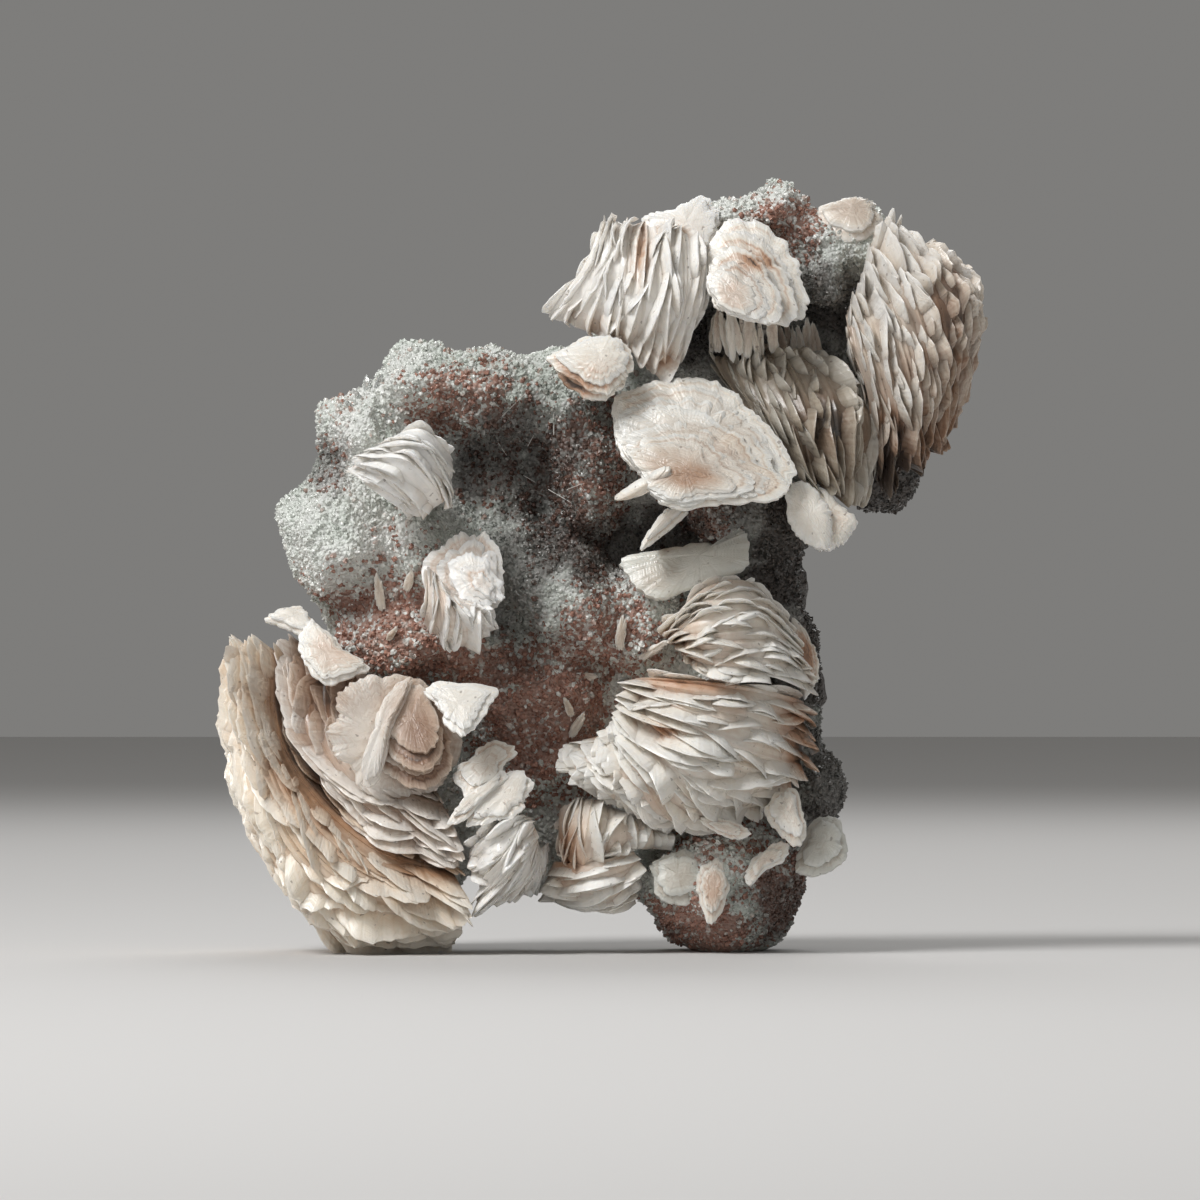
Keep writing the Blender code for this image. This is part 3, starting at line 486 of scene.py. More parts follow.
def druse_tree(crystals, finish):
    """Geometry Nodes that stand crystals on a skin, as many as its druse attribute asks for."""
    tree = bpy.data.node_groups.new("grow_druse", "GeometryNodeTree")
    ports = tree.interface
    ports.new_socket("Skin", in_out="INPUT", socket_type="NodeSocketGeometry")
    for label in ("Density", "Smallest", "Largest", "Tilt"):
        ports.new_socket(label, in_out="INPUT", socket_type="NodeSocketFloat")
    ports.new_socket("Seed", in_out="INPUT", socket_type="NodeSocketInt")
    ports.new_socket("Druse", in_out="OUTPUT", socket_type="NodeSocketGeometry")

    def node(kind, **settings):
        made = tree.nodes.new(kind)
        for setting, value in settings.items():
            setattr(made, setting, value)
        return made

    def join(source, target):
        tree.links.new(source, target)

    given = node("NodeGroupInput")
    result = node("NodeGroupOutput")
    cover = node("GeometryNodeInputNamedAttribute", data_type="FLOAT")
    cover.inputs["Name"].default_value = "druse"
    thick = node("ShaderNodeMath", operation="MULTIPLY")
    join(cover.outputs["Attribute"], thick.inputs[0])
    join(given.outputs["Density"], thick.inputs[1])
    spread = node("GeometryNodeDistributePointsOnFaces", distribute_method="RANDOM")
    join(given.outputs["Skin"], spread.inputs["Mesh"])
    join(thick.outputs[0], spread.inputs["Density"])
    join(given.outputs["Seed"], spread.inputs["Seed"])
    tone = node("FunctionNodeRandomValue", data_type="FLOAT")
    join(given.outputs["Seed"], tone.inputs["Seed"])
    mark = node("GeometryNodeStoreNamedAttribute", data_type="FLOAT", domain="POINT")
    mark.inputs["Name"].default_value = "tone"
    join(spread.outputs["Points"], mark.inputs["Geometry"])
    join(tone.outputs[1], mark.inputs["Value"])
    lean = node("FunctionNodeRandomValue", data_type="FLOAT_VECTOR")
    lean.inputs["ID"].default_value = 0
    low = node("ShaderNodeVectorMath", operation="SCALE")
    low.inputs[0].default_value = (-1.0, -1.0, -5.0)
    join(given.outputs["Tilt"], low.inputs["Scale"])
    high = node("ShaderNodeVectorMath", operation="SCALE")
    high.inputs[0].default_value = (1.0, 1.0, 5.0)
    join(given.outputs["Tilt"], high.inputs["Scale"])
    join(low.outputs[0], lean.inputs[0])
    join(high.outputs[0], lean.inputs[1])
    turned = node("FunctionNodeRotateRotation", rotation_space="LOCAL")
    as_turn = node("FunctionNodeEulerToRotation")
    join(lean.outputs[0], as_turn.inputs[0])
    join(spread.outputs["Rotation"], turned.inputs["Rotation"])
    join(as_turn.outputs[0], turned.inputs["Rotate By"])
    size = node("FunctionNodeRandomValue", data_type="FLOAT")
    join(given.outputs["Smallest"], size.inputs[2])
    join(given.outputs["Largest"], size.inputs[3])
    kinds = node("GeometryNodeCollectionInfo", transform_space="ORIGINAL")
    kinds.inputs["Collection"].default_value = crystals
    kinds.inputs["Separate Children"].default_value = True
    kinds.inputs["Reset Children"].default_value = True
    stand = node("GeometryNodeInstanceOnPoints")
    stand.inputs["Pick Instance"].default_value = True
    join(mark.outputs["Geometry"], stand.inputs["Points"])
    join(kinds.outputs["Instances"], stand.inputs["Instance"])
    join(turned.outputs["Rotation"], stand.inputs["Rotation"])
    join(size.outputs[1], stand.inputs["Scale"])
    real = node("GeometryNodeRealizeInstances")
    join(stand.outputs["Instances"], real.inputs["Geometry"])
    coat = node("GeometryNodeSetMaterial")
    coat.inputs["Material"].default_value = finish
    join(real.outputs["Geometry"], coat.inputs["Geometry"])
    join(coat.outputs["Geometry"], result.inputs["Druse"])
    return tree


crystals = bpy.data.collections.new("quartz_crystals")
for number, (sides, height) in enumerate(CRYSTAL_KINDS):
    crystals.objects.link(
        quartz_crystal(f"quartz_crystal_{number}", sides, height, 1.7 * number)
    )
druse_glass = quartz_finish("druse_quartz", 1.0, 0.16, 1.0, 0.0)
tree = druse_tree(crystals, druse_glass)
inputs = {s.name: s.identifier for s in tree.interface.items_tree if s.in_out == "INPUT"}
# One piece for each stretch from left to right
DRUSE_STRETCHES = (
    ("druse_lobe", -100.0, -21.0),
    ("druse_bowl", -21.0, -4.0),
    ("druse_ridge", -4.0, 14.0),
    ("druse_wall", 14.0, 100.0),
)
for seed, (name, left, right) in enumerate(DRUSE_STRETCHES):
    data = quartz.data.copy()
    inside = (skin_points[:, 0] > left) & (skin_points[:, 0] <= right)
    cover = np.empty(len(data.vertices), np.float32)
    data.attributes["druse"].data.foreach_get("value", cover)
    data.attributes["druse"].data.foreach_set("value", np.where(inside, cover, 0).astype("f4"))
    druse = bpy.data.objects.new(name, data)
    bpy.context.scene.collection.objects.link(druse)
    grow = druse.modifiers.new("grow", "NODES")
    grow.node_group = tree
    grow[inputs["Density"]] = DRUSE_DENSITY / MM**2
    grow[inputs["Smallest"]] = DRUSE_SIZE[0]
    grow[inputs["Largest"]] = DRUSE_SIZE[1]
    grow[inputs["Tilt"]] = DRUSE_TILT
    grow[inputs["Seed"]] = DRUSE_SEED + seed
    settled(druse)
    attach(druse, "root")
for crystal in list(crystals.objects):
    bpy.data.objects.remove(crystal, do_unlink=True)
bpy.data.collections.remove(crystals)

# Loose crystals on the druse: a few thin needles in the bowl, and a group of clear quartz
# crystals at the upper left edge. They grew on the druse last, and are fixed to it.

# Middle x and z, length, turn from upright towards the right, lean towards the viewer, thickness
NEEDLES = (
    (-12.2, 76.3, 5.4, 0.8, 0.5, 0.13),
    (-6.6, 74.2, 4.4, 0.0, 0.4, 0.16),
    (-10.4, 66.3, 2.8, 2.1, 0.5, 0.13),
    (-5.2, 63.3, 5.4, 2.1, 0.4, 0.15),
    (-9.5, 72.0, 3.6, 0.5, 0.6, 0.12),
    (-3.5, 65.0, 3.2, 1.2, 0.7, 0.13),
    (-14.0, 70.5, 3.0, -0.6, 0.6, 0.12),
)
CLEAR_CRYSTALS = (
    (-32.6, 78.6, 4.2, -0.15, 0.1, 1.7),
    (-31.2, 79.0, 3.8, 0.35, 0.2, 1.5),
    (-33.8, 77.4, 3.0, -0.6, 0.2, 1.2),
    (-35.0, 76.2, 2.6, -0.8, 0.3, 1.1),
)
# Layout y of a place well in front of the specimen
IN_FRONT = -60.0
# Shares of a column: length inside the quartz, width of its neck, its depth from front to back,
# and length of the point as a share of the width; and how far the foot is set outwards, in mm
COLUMN_BURIED = 0.5
NECK_WIDTH = 0.9
COLUMN_FLAT = 0.7
POINT_LENGTH = 0.5
OUTWARD = 0.3
# Colours of the two kinds
NEEDLE_LIGHT = (0.80, 0.78, 0.74, 1)
NEEDLE_DULL = (0.62, 0.60, 0.56, 1)
CLEAR_LIGHT = (0.86, 0.87, 0.86, 1)
CLEAR_DULL = (0.70, 0.72, 0.70, 1)


def front_of_quartz(x, z):
    """The point of the quartz skin in front at x and z of the layout, or its nearest one."""
    start = Vector((x - LAYOUT_MIDDLE[0], IN_FRONT, z)) * MM
    hit, place, _normal, _index = quartz.ray_cast(start, Vector((0.0, 1.0, 0.0)))
    if not hit:
        _hit, place, _normal, _index = quartz.closest_point_on_mesh(start * Vector((1, 0.1, 1)))
    return place


def pointed_columns(name, rows, finish):
    """Six-sided columns with a point, each one from inside the quartz outwards, as one piece."""
    mesh = bmesh.new()
    for x, z, length, turn, lean, thick in rows:
        axis = Vector((math.sin(turn), -math.sin(lean), math.cos(turn))).normalized()
        frame_turn = axis.to_track_quat("Z", "Y").to_matrix()
        foot = front_of_quartz(x, z) - axis * COLUMN_BURIED * length * MM
        foot = foot + Vector((0, -OUTWARD * MM, 0))
        rings = []
        for along, wide in ((0.0, 1.0), (1.0 - POINT_LENGTH * thick / length, NECK_WIDTH)):
            ring = []
            for side in range(6):
                turned = 2 * math.pi * side / 6 + x
                out = Vector((math.cos(turned), COLUMN_FLAT * math.sin(turned), 0.0))
                out = out * wide * thick / 2
                ring.append(
                    mesh.verts.new(foot + (frame_turn @ out + axis * along * length) * MM)
                )
            rings.append(ring)
        tip = mesh.verts.new(foot + axis * length * MM)
        for side in range(6):
            other = (side + 1) % 6
            mesh.faces.new((rings[0][side], rings[0][other], rings[1][other], rings[1][side]))
            mesh.faces.new((rings[1][side], rings[1][other], tip))
        mesh.faces.new(rings[0][::-1])
    bmesh.ops.recalc_face_normals(mesh, faces=mesh.faces[:])
    data = bpy.data.meshes.new(name)
    mesh.to_mesh(data)
    mesh.free()
    data.materials.append(finish.material)
    made = bpy.data.objects.new(name, data)
    bpy.context.scene.collection.objects.link(made)
    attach(made, "root")


needle_finish = Finish("needle_quartz", IOR=QUARTZ_IOR)
needle_finish.colour(needle_finish.mix(needle_finish.grain(400.0), NEEDLE_LIGHT, NEEDLE_DULL))
needle_finish.roughness(0.2 + needle_finish.grain(900.0) * 0.2)
pointed_columns("bowl_needles", NEEDLES, needle_finish)
clear_finish = Finish("clear_quartz", IOR=QUARTZ_IOR, Transmission_Weight=0.75)
clear_finish.colour(clear_finish.mix(clear_finish.grain(500.0), CLEAR_LIGHT, CLEAR_DULL))
clear_finish.roughness(0.08 + clear_finish.grain(700.0) * 0.2)
clear_finish.bump(clear_finish.grain(900.0), 0.2, 0.1 * MM)
pointed_columns("clear_crystals", CLEAR_CRYSTALS, clear_finish)

# Crest at the upper left. Thin tabular baryte crystals stand side by side with their edges
# upright, and a flat plate lies on top behind them. White at the rims, brown in the gaps.

# Edge of a leaf, in mm: step between its points and their least and greatest number, length and
# height of its lobes, and height of the teeth on them
STATION_LENGTH = 0.7
STATIONS = (9, 30)
LOBE_LENGTH = 2.0
LOBE_HEIGHT = 0.5
TOOTH_HEIGHT = 0.21
# Rim of a plate: step between its points in mm, their least and greatest number, and length of
# its lobes as a share of a leaf's
RIM_STEP = 0.48
RIM_POINTS = (36, 150)
RIM_LOBES = 0.7
# Body of a leaf, in mm: half its thickness at the rim, how deep its ends lie in the heart, and
# how far its root reaches below them
RIM_HALF = 0.07
LEAF_BURIED = 0.6
LEAF_ROOT_DEPTH = 1.6
# Where a leaf is highest, as a share of its length, and what its thickness is multiplied by
PEAK_SPREAD = (0.42, 0.8)
FULL_SPREAD = (0.7, 1.3)
# How far a leaf bows and how high it waves, in mm, and the points between two waves
LEAF_BOW = 0.7
LEAF_WAVE = 0.18
WAVE_POINTS = 5
# Share of a fan's width over which the direction across it is taken
SIDE_STEP = 0.02
# Rows of leaves: how far a leaf is off its row as a share of the step between rows, the length
# in mm over which it turns by the fan's slant, and what its lean is multiplied by
ROW_SCATTER = 0.45
TURN_LENGTH = 8.0
LEAN_SPREAD = (0.4, 1.4)
# Along a row: where the first leaf starts and the last one may at most, the least share of a leaf
# that lies on the row, and after which share of it the next one starts
FIRST_START = (-0.6, 0.0)
LAST_START = 0.97
SHORTEST = 0.3
NEXT_START = (0.4, 0.7)
# Cross-section of a leaf, from its rim inwards: share of the way in, share of the lean, half
# thickness as a share of the leaf's own, and depth in the gap, which the colour follows: iron stain
# and painted shade deeper in
LEAF_SECTION = (
    (0.0, 1.0, 0.0, 0.0),
    (0.07, 0.96, 0.26, 0.04),
    (0.26, 0.80, 0.58, 0.13),
    (0.5, 0.52, 0.88, 0.30),
    (0.75, 0.22, 1.0, 0.56),
    (1.0, 0.0, 0.8, 0.92),
)
# Leaves on the two side walls of a fan: the level where the rows end, and in mm the height of a
# leaf, the step between rows, how far it stands above its row and how far it leans
WALL_END = 0.4
WALL_SCALE = 4.0
WALL_STEP = 2.6
WALL_TIPS = (0.2, 1.2)
WALL_LEANS = (0.3, 1.1)
# Heart of a fan: width of a column in mm, least and greatest number of columns, rows, height of
# the ribs and of their roughness in mm, and how far in from an edge its material counts, in mm
HEART_COLUMN = 0.45
HEART_COLUMNS = (16, 110)
HEART_ROWS = 22
RIB_HEIGHT = 0.3
RIB_ROUGHNESS = 0.1
HEART_GROWTH = 2.0
# Rings of a shell as shares of its radius, the share by which shells shrink at most, the power of
# a dome, height in mm and points of one of its waves, and how rough it is in mm
SHELL_RADII = (1.0, 0.975, 0.92, 0.84, 0.74, 0.62, 0.48, 0.33, 0.16)
MOST_SHRUNK = 0.7
DOME_POWER = 2.2
DOME_WAVE = 0.12
DOME_WAVE_POINTS = 6
DOME_ROUGHNESS = 0.02
# Width in mm of the dark line where two shells touch: painted shade under the upper shell's rim, in
# the colour of iron stain
CONTACT_LINE = 0.3
# Inner ring on the back of a shell: its share of the radius, and its share of the way from the root
BACK_RADIUS = 0.72
BACK_REACH = 0.75
# Angle in radians from which an edge between faces stays sharp
SHARP_ANGLE = 0.75


def spline_weights(count, t):
    """Weights of evenly spaced points on a smooth curve through them, for each t from 0 to 1."""
    x = np.clip(t, 0.0, 1.0) * (count - 1)
    first = np.minimum(x.astype(int), count - 2)
    f = x - first
    shares = (
        -0.5 * f + f**2 - 0.5 * f**3,
        1 - 2.5 * f**2 + 1.5 * f**3,
        0.5 * f + 2 * f**2 - 1.5 * f**3,
        -0.5 * f**2 + 0.5 * f**3,
    )
    weights = np.zeros((len(x), count))
    for offset, share in zip((-1, 0, 1, 2), shares):
        column = np.clip(first + offset, 0, count - 1)
        np.add.at(weights, (np.arange(len(x)), column), share)
    return weights


class Baryte:
    """Baryte crystals of one piece: points, faces, and for each point what the material reads."""

    def __init__(self, seed):
        self.chance = np.random.default_rng(seed)
        self.points = []
        self.faces = []
        self.depths = []
        self.growths = []
        self.fibres = []
        self.tones = []
        self.total = 0

    def add(self, points, faces, depth, growth, fibre, tone):
        """Keep one crystal, with its depth in the gap and its distances from and along the edge."""
        self.points.append(points)
        self.fibres.append(fibre)
        self.depths.append(depth)
        self.growths.append(growth)
        self.tones.append(np.full(len(points), tone))
        self.faces += [[corner + self.total for corner in face] for face in faces]
        self.total += len(points)

    def fan(self, lines, roots, spacing, length, lean, tips=(0.96, 1.03), heart=0.93,
            point=0.6, full=0.62, slant=0.45, core=0.5):
        """Leaf-like crystals over a fan of edge lines, all from one root."""
        self.lines = np.array(lines, float)
        self.roots = np.array(roots, float)
        widths = np.linalg.norm(np.diff(self.lines, axis=0), axis=2).mean(axis=1)
        across = widths.sum()
        passed = np.concatenate([[0.0], np.cumsum(widths)]) / across
        numbers = np.linspace(0.0, 1.0, len(passed))
        along = np.linalg.norm(np.diff(self.lines, axis=1), axis=2).sum(axis=1).mean()
        reach = np.linalg.norm(self.lines.mean(axis=(0, 1)) - self.roots.mean(axis=0))
        self.heart(heart, across, reach, core)
        rows = max(3, round(across / spacing))
        for row in range(rows):
            for ends, share in self.shares(length, along):
                u = (row + 0.5 + self.chance.uniform(-ROW_SCATTER, ROW_SCATTER)) / rows
                turn = self.chance.normal(0.0, slant) / rows
                turn = turn * min(2.0, share * along / TURN_LENGTH)
                tip = self.chance.uniform(*tips)
                across_line = np.interp((u - turn, u + turn), passed, numbers)
                self.leaf(across_line, ends, (tip, heart), along, reach, point,
                          lean * self.chance.uniform(*LEAN_SPREAD), full)
        for wall, outward in ((0.0, -1.0), (1.0, 1.0)):
            level = heart
            while level > WALL_END:
                for ends, share in self.shares(length, along * level):
                    tip = level + self.chance.uniform(*WALL_TIPS) / reach
                    self.leaf((wall, wall), ends, (tip, level - WALL_SCALE / reach),
                              along * level, reach, point,
                              outward * self.chance.uniform(*WALL_LEANS), full)
                level -= WALL_STEP / reach

    def shares(self, length, along):
        """Where the crystals of one row lie along it, each one over the end of the last."""
        found = []
        start = self.chance.uniform(*FIRST_START)
        while start < LAST_START:
            share = self.chance.uniform(*length) / along
            ends = (max(start, 0.0), min(start + share, 1.0))
            if ends[1] - ends[0] > SHORTEST * share:
                found.append((ends, share))
            start += share * self.chance.uniform(*NEXT_START)
        return found

    def fan_points(self, u, v, reach):
        """Points of the fan: u across it, v along its edge, reach from the root to the edge."""
        across = spline_weights(self.lines.shape[0], u)
        along = spline_weights(self.lines.shape[1], v)
        edge = np.einsum("kl,km,lmc->kc", across, along, self.lines)
        root = self.roots[0] + (self.roots[1] - self.roots[0]) * np.clip(u, 0, 1)[:, None]
        return root + (edge - root) * reach[:, None]

    def uneven(self, count, spacing, height):
        """A wavy line of count values, with a new random height every few of them."""
        knots = max(3, round(count / spacing) + 1)
        values = self.chance.uniform(-height, height, knots)
        return np.interp(np.linspace(0, knots - 1, count), np.arange(knots), values)

    def leaf(self, u, ends, reaches, along, reach, point, lean, full):
        """One thin crystal: its edge rises from the heart, and it leans over the next one."""
        chance = self.chance
        stations = round((ends[1] - ends[0]) * along / STATION_LENGTH)
        stations = int(np.clip(stations, *STATIONS))
        s = np.linspace(0.0, 1.0, stations)
        length = (ends[1] - ends[0]) * along
        v = ends[0] + (ends[1] - ends[0]) * s
        peak = chance.uniform(*PEAK_SPREAD)
        rise = np.clip(np.sin(np.pi * s ** (math.log(0.5) / math.log(peak))), 0, 1) ** point
        notches = self.uneven(stations, LOBE_LENGTH / STATION_LENGTH, LOBE_HEIGHT)
        notches = notches + chance.uniform(-TOOTH_HEIGHT, TOOTH_HEIGHT, stations)
        tip, heart = reaches
        low = heart - LEAF_BURIED / reach
        edge = low + (tip - low) * rise + notches / reach * np.minimum(1.0, 2 * rise)
        inner = np.full(stations, low - LEAF_ROOT_DEPTH / reach)
        us = np.clip(u[0] + (u[1] - u[0]) * s, 0.0, 1.0)
        step = np.full(stations, SIDE_STEP)
        side = self.fan_points(us + step, v, edge) - self.fan_points(us - step, v, edge)
        side /= np.maximum(np.linalg.norm(side, axis=1), 1e-6)[:, None]
        bow = chance.uniform(-LEAF_BOW, LEAF_BOW) * (2 * s - 1) ** 2
        bow = bow + self.uneven(stations, WAVE_POINTS, LEAF_WAVE)
        full = full * chance.uniform(*FULL_SPREAD)
        points, under, depths, growths = [], [], [], []
        for inward, leaning, thick, deep in LEAF_SECTION:
            middle = self.fan_points(us, v, edge + (inner - edge) * inward)
            shift = (lean + bow) * leaning
            half = (RIM_HALF + full * thick) * (0.2 + 0.8 * rise)
            points.append(middle + side * (shift + half)[:, None])
            under.append(middle + side * (shift - half)[:, None])
            depths.append(np.clip(deep + 0.25 * (1 - rise), 0, 1))
            growths.append((edge - inner) * reach * inward + notches * (1 - inward))
        points += under[::-1]
        count = len(points)
        faces = []
        for k in range(stations - 1):
            for r in range(count):
                n = (r + 1) % count
                faces.append([r * stations + k, n * stations + k,
                              n * stations + k + 1, r * stations + k + 1])
        for k in (0, stations - 1):
            for r in range(count // 2 - 1):
                other = count - 1 - r
                faces.append([r * stations + k, (r + 1) * stations + k,
                              (other - 1) * stations + k, other * stations + k])
        self.add(np.concatenate(points), faces, np.concatenate(depths + depths[::-1]),
                 np.concatenate(growths + growths[::-1]), np.tile(s * length, count),
                 chance.uniform())

    def heart(self, level, across, reach, core):
        """The closed body under the leaves, with fine ribs where crystals lie close."""
        chance = self.chance
        columns = int(np.clip(round(across / HEART_COLUMN), *HEART_COLUMNS))
        rows = HEART_ROWS
        ribs = chance.uniform(-RIB_HEIGHT, RIB_HEIGHT, columns) / reach
        u = np.repeat(np.linspace(0, 1, columns), rows)
        v = np.tile(np.linspace(0, 1, rows), columns)
        rough = chance.uniform(-RIB_ROUGHNESS, RIB_ROUGHNESS, columns * rows) / reach
        wave = np.repeat(ribs, rows) + rough
        fade = 1.0 - 0.1 * np.abs(2 * v - 1) ** 3
        front = self.fan_points(u, v, (level + wave) * fade)
        points = np.concatenate([front, self.roots])
        faces = []
        root = [columns * rows + (1 if c >= columns // 2 else 0) for c in range(columns)]
        for c in range(columns - 1):
            for r in range(rows - 1):
                faces.append([c * rows + r, c * rows + r + 1, (c + 1) * rows + r + 1,
                              (c + 1) * rows + r])
            for r in (0, rows - 1):
                corners = [c * rows + r, (c + 1) * rows + r, root[c + 1], root[c]]
                faces.append(corners if root[c] != root[c + 1] else corners[:3])
        for c in (0, columns - 1):
            for r in range(rows - 1):
                faces.append([c * rows + r, c * rows + r + 1, root[c]])
        self.add(points, faces, np.full(len(points), core),
                 np.full(len(points), HEART_GROWTH), np.append(u * across, (0.0, across)), 0.5)

    def plate(self, outline, bulge, thickness, root=None, shells=2, step=0.9, shift=(0, 0, 0),
              deep=0.4, lobe=0.35, gap=0.1):
        """A tabular crystal seen on its face, as thin shells with jagged rims."""
        outline = np.array(outline, float)
        centre = outline.mean(axis=0)
        spokes = outline - centre
        normal = np.cross(spokes, np.roll(spokes, -1, axis=0)).sum(axis=0)
        normal /= np.linalg.norm(normal)
        if normal[1] > 0:
            normal = -normal
        size = np.linalg.norm(spokes, axis=1).mean()
        for number in range(shells):
            scale = 1.0 - min(step * number / size, MOST_SHRUNK)
            moved = centre + np.array(shift, float) * number / shells
            rise = -0.5 * thickness + thickness * number / shells
            rise += bulge * (1.0 - scale**DOME_POWER)
            following = 1.0 - min(step * (number + 1) / size, MOST_SHRUNK)
            cover = following / scale if number + 1 < shells else 0.0
            sizes = (bulge * scale**DOME_POWER, thickness / shells)
            self.shell(moved + spokes * scale, moved, normal, sizes, rise,
                       root if number == 0 else None, (deep, cover, gap), lobe)

    def shell(self, outline, centre, normal, sizes, rise, root, stain, lobe):
        """One shell of a plate: a domed disc with a lobed and toothed rim."""
        chance = self.chance
        bulge, thickness = sizes
        deep, cover, gap = stain
        girth = np.linalg.norm(outline - np.roll(outline, -1, axis=0), axis=1).sum()
        count = int(np.clip(round(girth / RIM_STEP), *RIM_POINTS))
        rim = closed_curve(outline, np.linspace(0.0, 1.0, count, endpoint=False))
        spokes = rim - centre
        size = np.linalg.norm(spokes, axis=1)
        notches = self.uneven(count, RIM_LOBES * LOBE_LENGTH / RIM_STEP, lobe)
        # The lobes fade out over the five points on each side of the place where the rim closes
        order = np.arange(count)
        notches = notches * np.minimum(1.0, 0.2 * np.minimum(order, order[::-1]))
        notches = notches + chance.uniform(-TOOTH_HEIGHT, TOOTH_HEIGHT, count)
        spokes = spokes * (1.0 + notches / np.maximum(size, 2.0))[:, None]
        line = CONTACT_LINE / size.mean()
        radii = set(SHELL_RADII)
        if cover > 0.0 and cover + 2 * line < 0.96:
            radii |= {cover, cover + line, cover + 2 * line}
        radii = sorted(radii, reverse=True)
        waves = self.uneven(count, DOME_WAVE_POINTS, DOME_WAVE)
        rings, depths, growths = [], [], []
        for radius in radii:
            dome = rise + thickness * (1 - 0.35 * radius**8) + bulge * (1 - radius**DOME_POWER)
            dome = dome + waves * (1 - radius) * radius * 4 + 0.3 * notches * radius**3
            dome = dome + chance.uniform(-DOME_ROUGHNESS, DOME_ROUGHNESS, count)
            rings.append(centre + spokes * radius + normal * dome[:, None])
            # Painted shade: a dark line just outside where the next shell covers this one
            near = math.exp(-(((radius - cover) / line) ** 2)) if cover > 0.0 else 0.0
            depths.append(np.full(count, deep * (1 - radius**5) + gap * near))
            growths.append((1 - radius) * size + notches * radius)
        for radius in (1.0, BACK_RADIUS):
            ring = centre + spokes * radius + normal * (rise + thickness * 0.35 * (radius - 0.7))
            if root is not None and radius < 1.0:
                ring = np.array(root) + (ring - np.array(root)) * BACK_REACH
            rings.insert(0, ring)
            depths.insert(0, np.full(count, 0.0 if radius == 1.0 else 0.8))
            growths.insert(0, (1 - radius) * size)
        foot = centre + normal * rise if root is None else np.array(root, float)
        top = centre + normal * (rise + thickness + bulge)
        faces = []
        for r in range(len(rings) - 1):
            for k in range(count):
                n = (k + 1) % count
                faces.append([r * count + k, r * count + n,
                              (r + 1) * count + n, (r + 1) * count + k])
        last = len(rings) * count
        for k in range(count):
            n = (k + 1) % count
            faces.append([k, n, last])
            faces.append([last - count + k, last - count + n, last + 1])
        points = np.concatenate(rings + [[foot], [top]])
        inside = size.mean()
        self.add(points, faces, np.concatenate(depths + [[0.9], [deep]]),
                 np.concatenate(growths + [[inside], [inside]]),
                 np.append(np.tile(np.arange(count) * STATION_LENGTH, len(rings)), (0.0, 0.0)),
                 chance.uniform())

    def piece(self, name, finish, *nodes, stains_and_painted_shading=()):
        """The piece as an object in the specimen's frame, in place of its solids."""
        layout = np.concatenate(self.points)
        depth = np.concatenate(self.depths)
        # Each patch deepens the colour towards the gap colours: real iron stain in some, painted
        # shade in recesses and under overhangs in others; a negative strength lightens it, painted
        # light
        for x, z, across, high, strength in stains_and_painted_shading:
            away = ((layout[:, 0] - x) / across) ** 2 + ((layout[:, 2] - z) / high) ** 2
            depth = depth + strength * np.exp(-away)
        points = (layout - (*LAYOUT_MIDDLE, 0.0)) * MM
        points[:, 2] = np.maximum(points[:, 2], 0.0)
        data = bpy.data.meshes.new(name)
        data.from_pydata(points.tolist(), [], self.faces)
        store(data, "depth", depth)
        store(data, "tone", np.concatenate(self.tones))
        store(data, "growth", np.concatenate(self.growths))
        store(data, "fibre", np.concatenate(self.fibres))
        mesh = bmesh.new()
        mesh.from_mesh(data)
        bmesh.ops.recalc_face_normals(mesh, faces=mesh.faces[:])
        mesh.to_mesh(data)
        mesh.free()
        data.shade_smooth()
        data.set_sharp_from_angle(angle=SHARP_ANGLE)
        data.materials.append(finish)
        made = bpy.data.objects.new(name, data)
        bpy.context.scene.collection.objects.link(made)
        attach(made, "root")
        if nodes:
            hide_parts(*nodes)


def closed_curve(outline, t):
    """A smooth closed curve through the outline's points."""
    x = t * len(outline)
    first = np.floor(x).astype(int)
    f = (x - first)[:, None]
    near = [outline[(first + offset) % len(outline)] for offset in (-1, 0, 1, 2)]
    return (
        near[0] * (-0.5 * f + f**2 - 0.5 * f**3)
        + near[1] * (1 - 2.5 * f**2 + 1.5 * f**3)
        + near[2] * (0.5 * f + 2 * f**2 - 1.5 * f**3)
        + near[3] * (-0.5 * f**2 + 0.5 * f**3)
    )


# How strongly baryte bends light, and how far light goes into it, in metres
BARYTE_IOR = 1.64
MILKY_DEPTH = 0.002
SPECK = (0.12, 0.07, 0.05, 1)


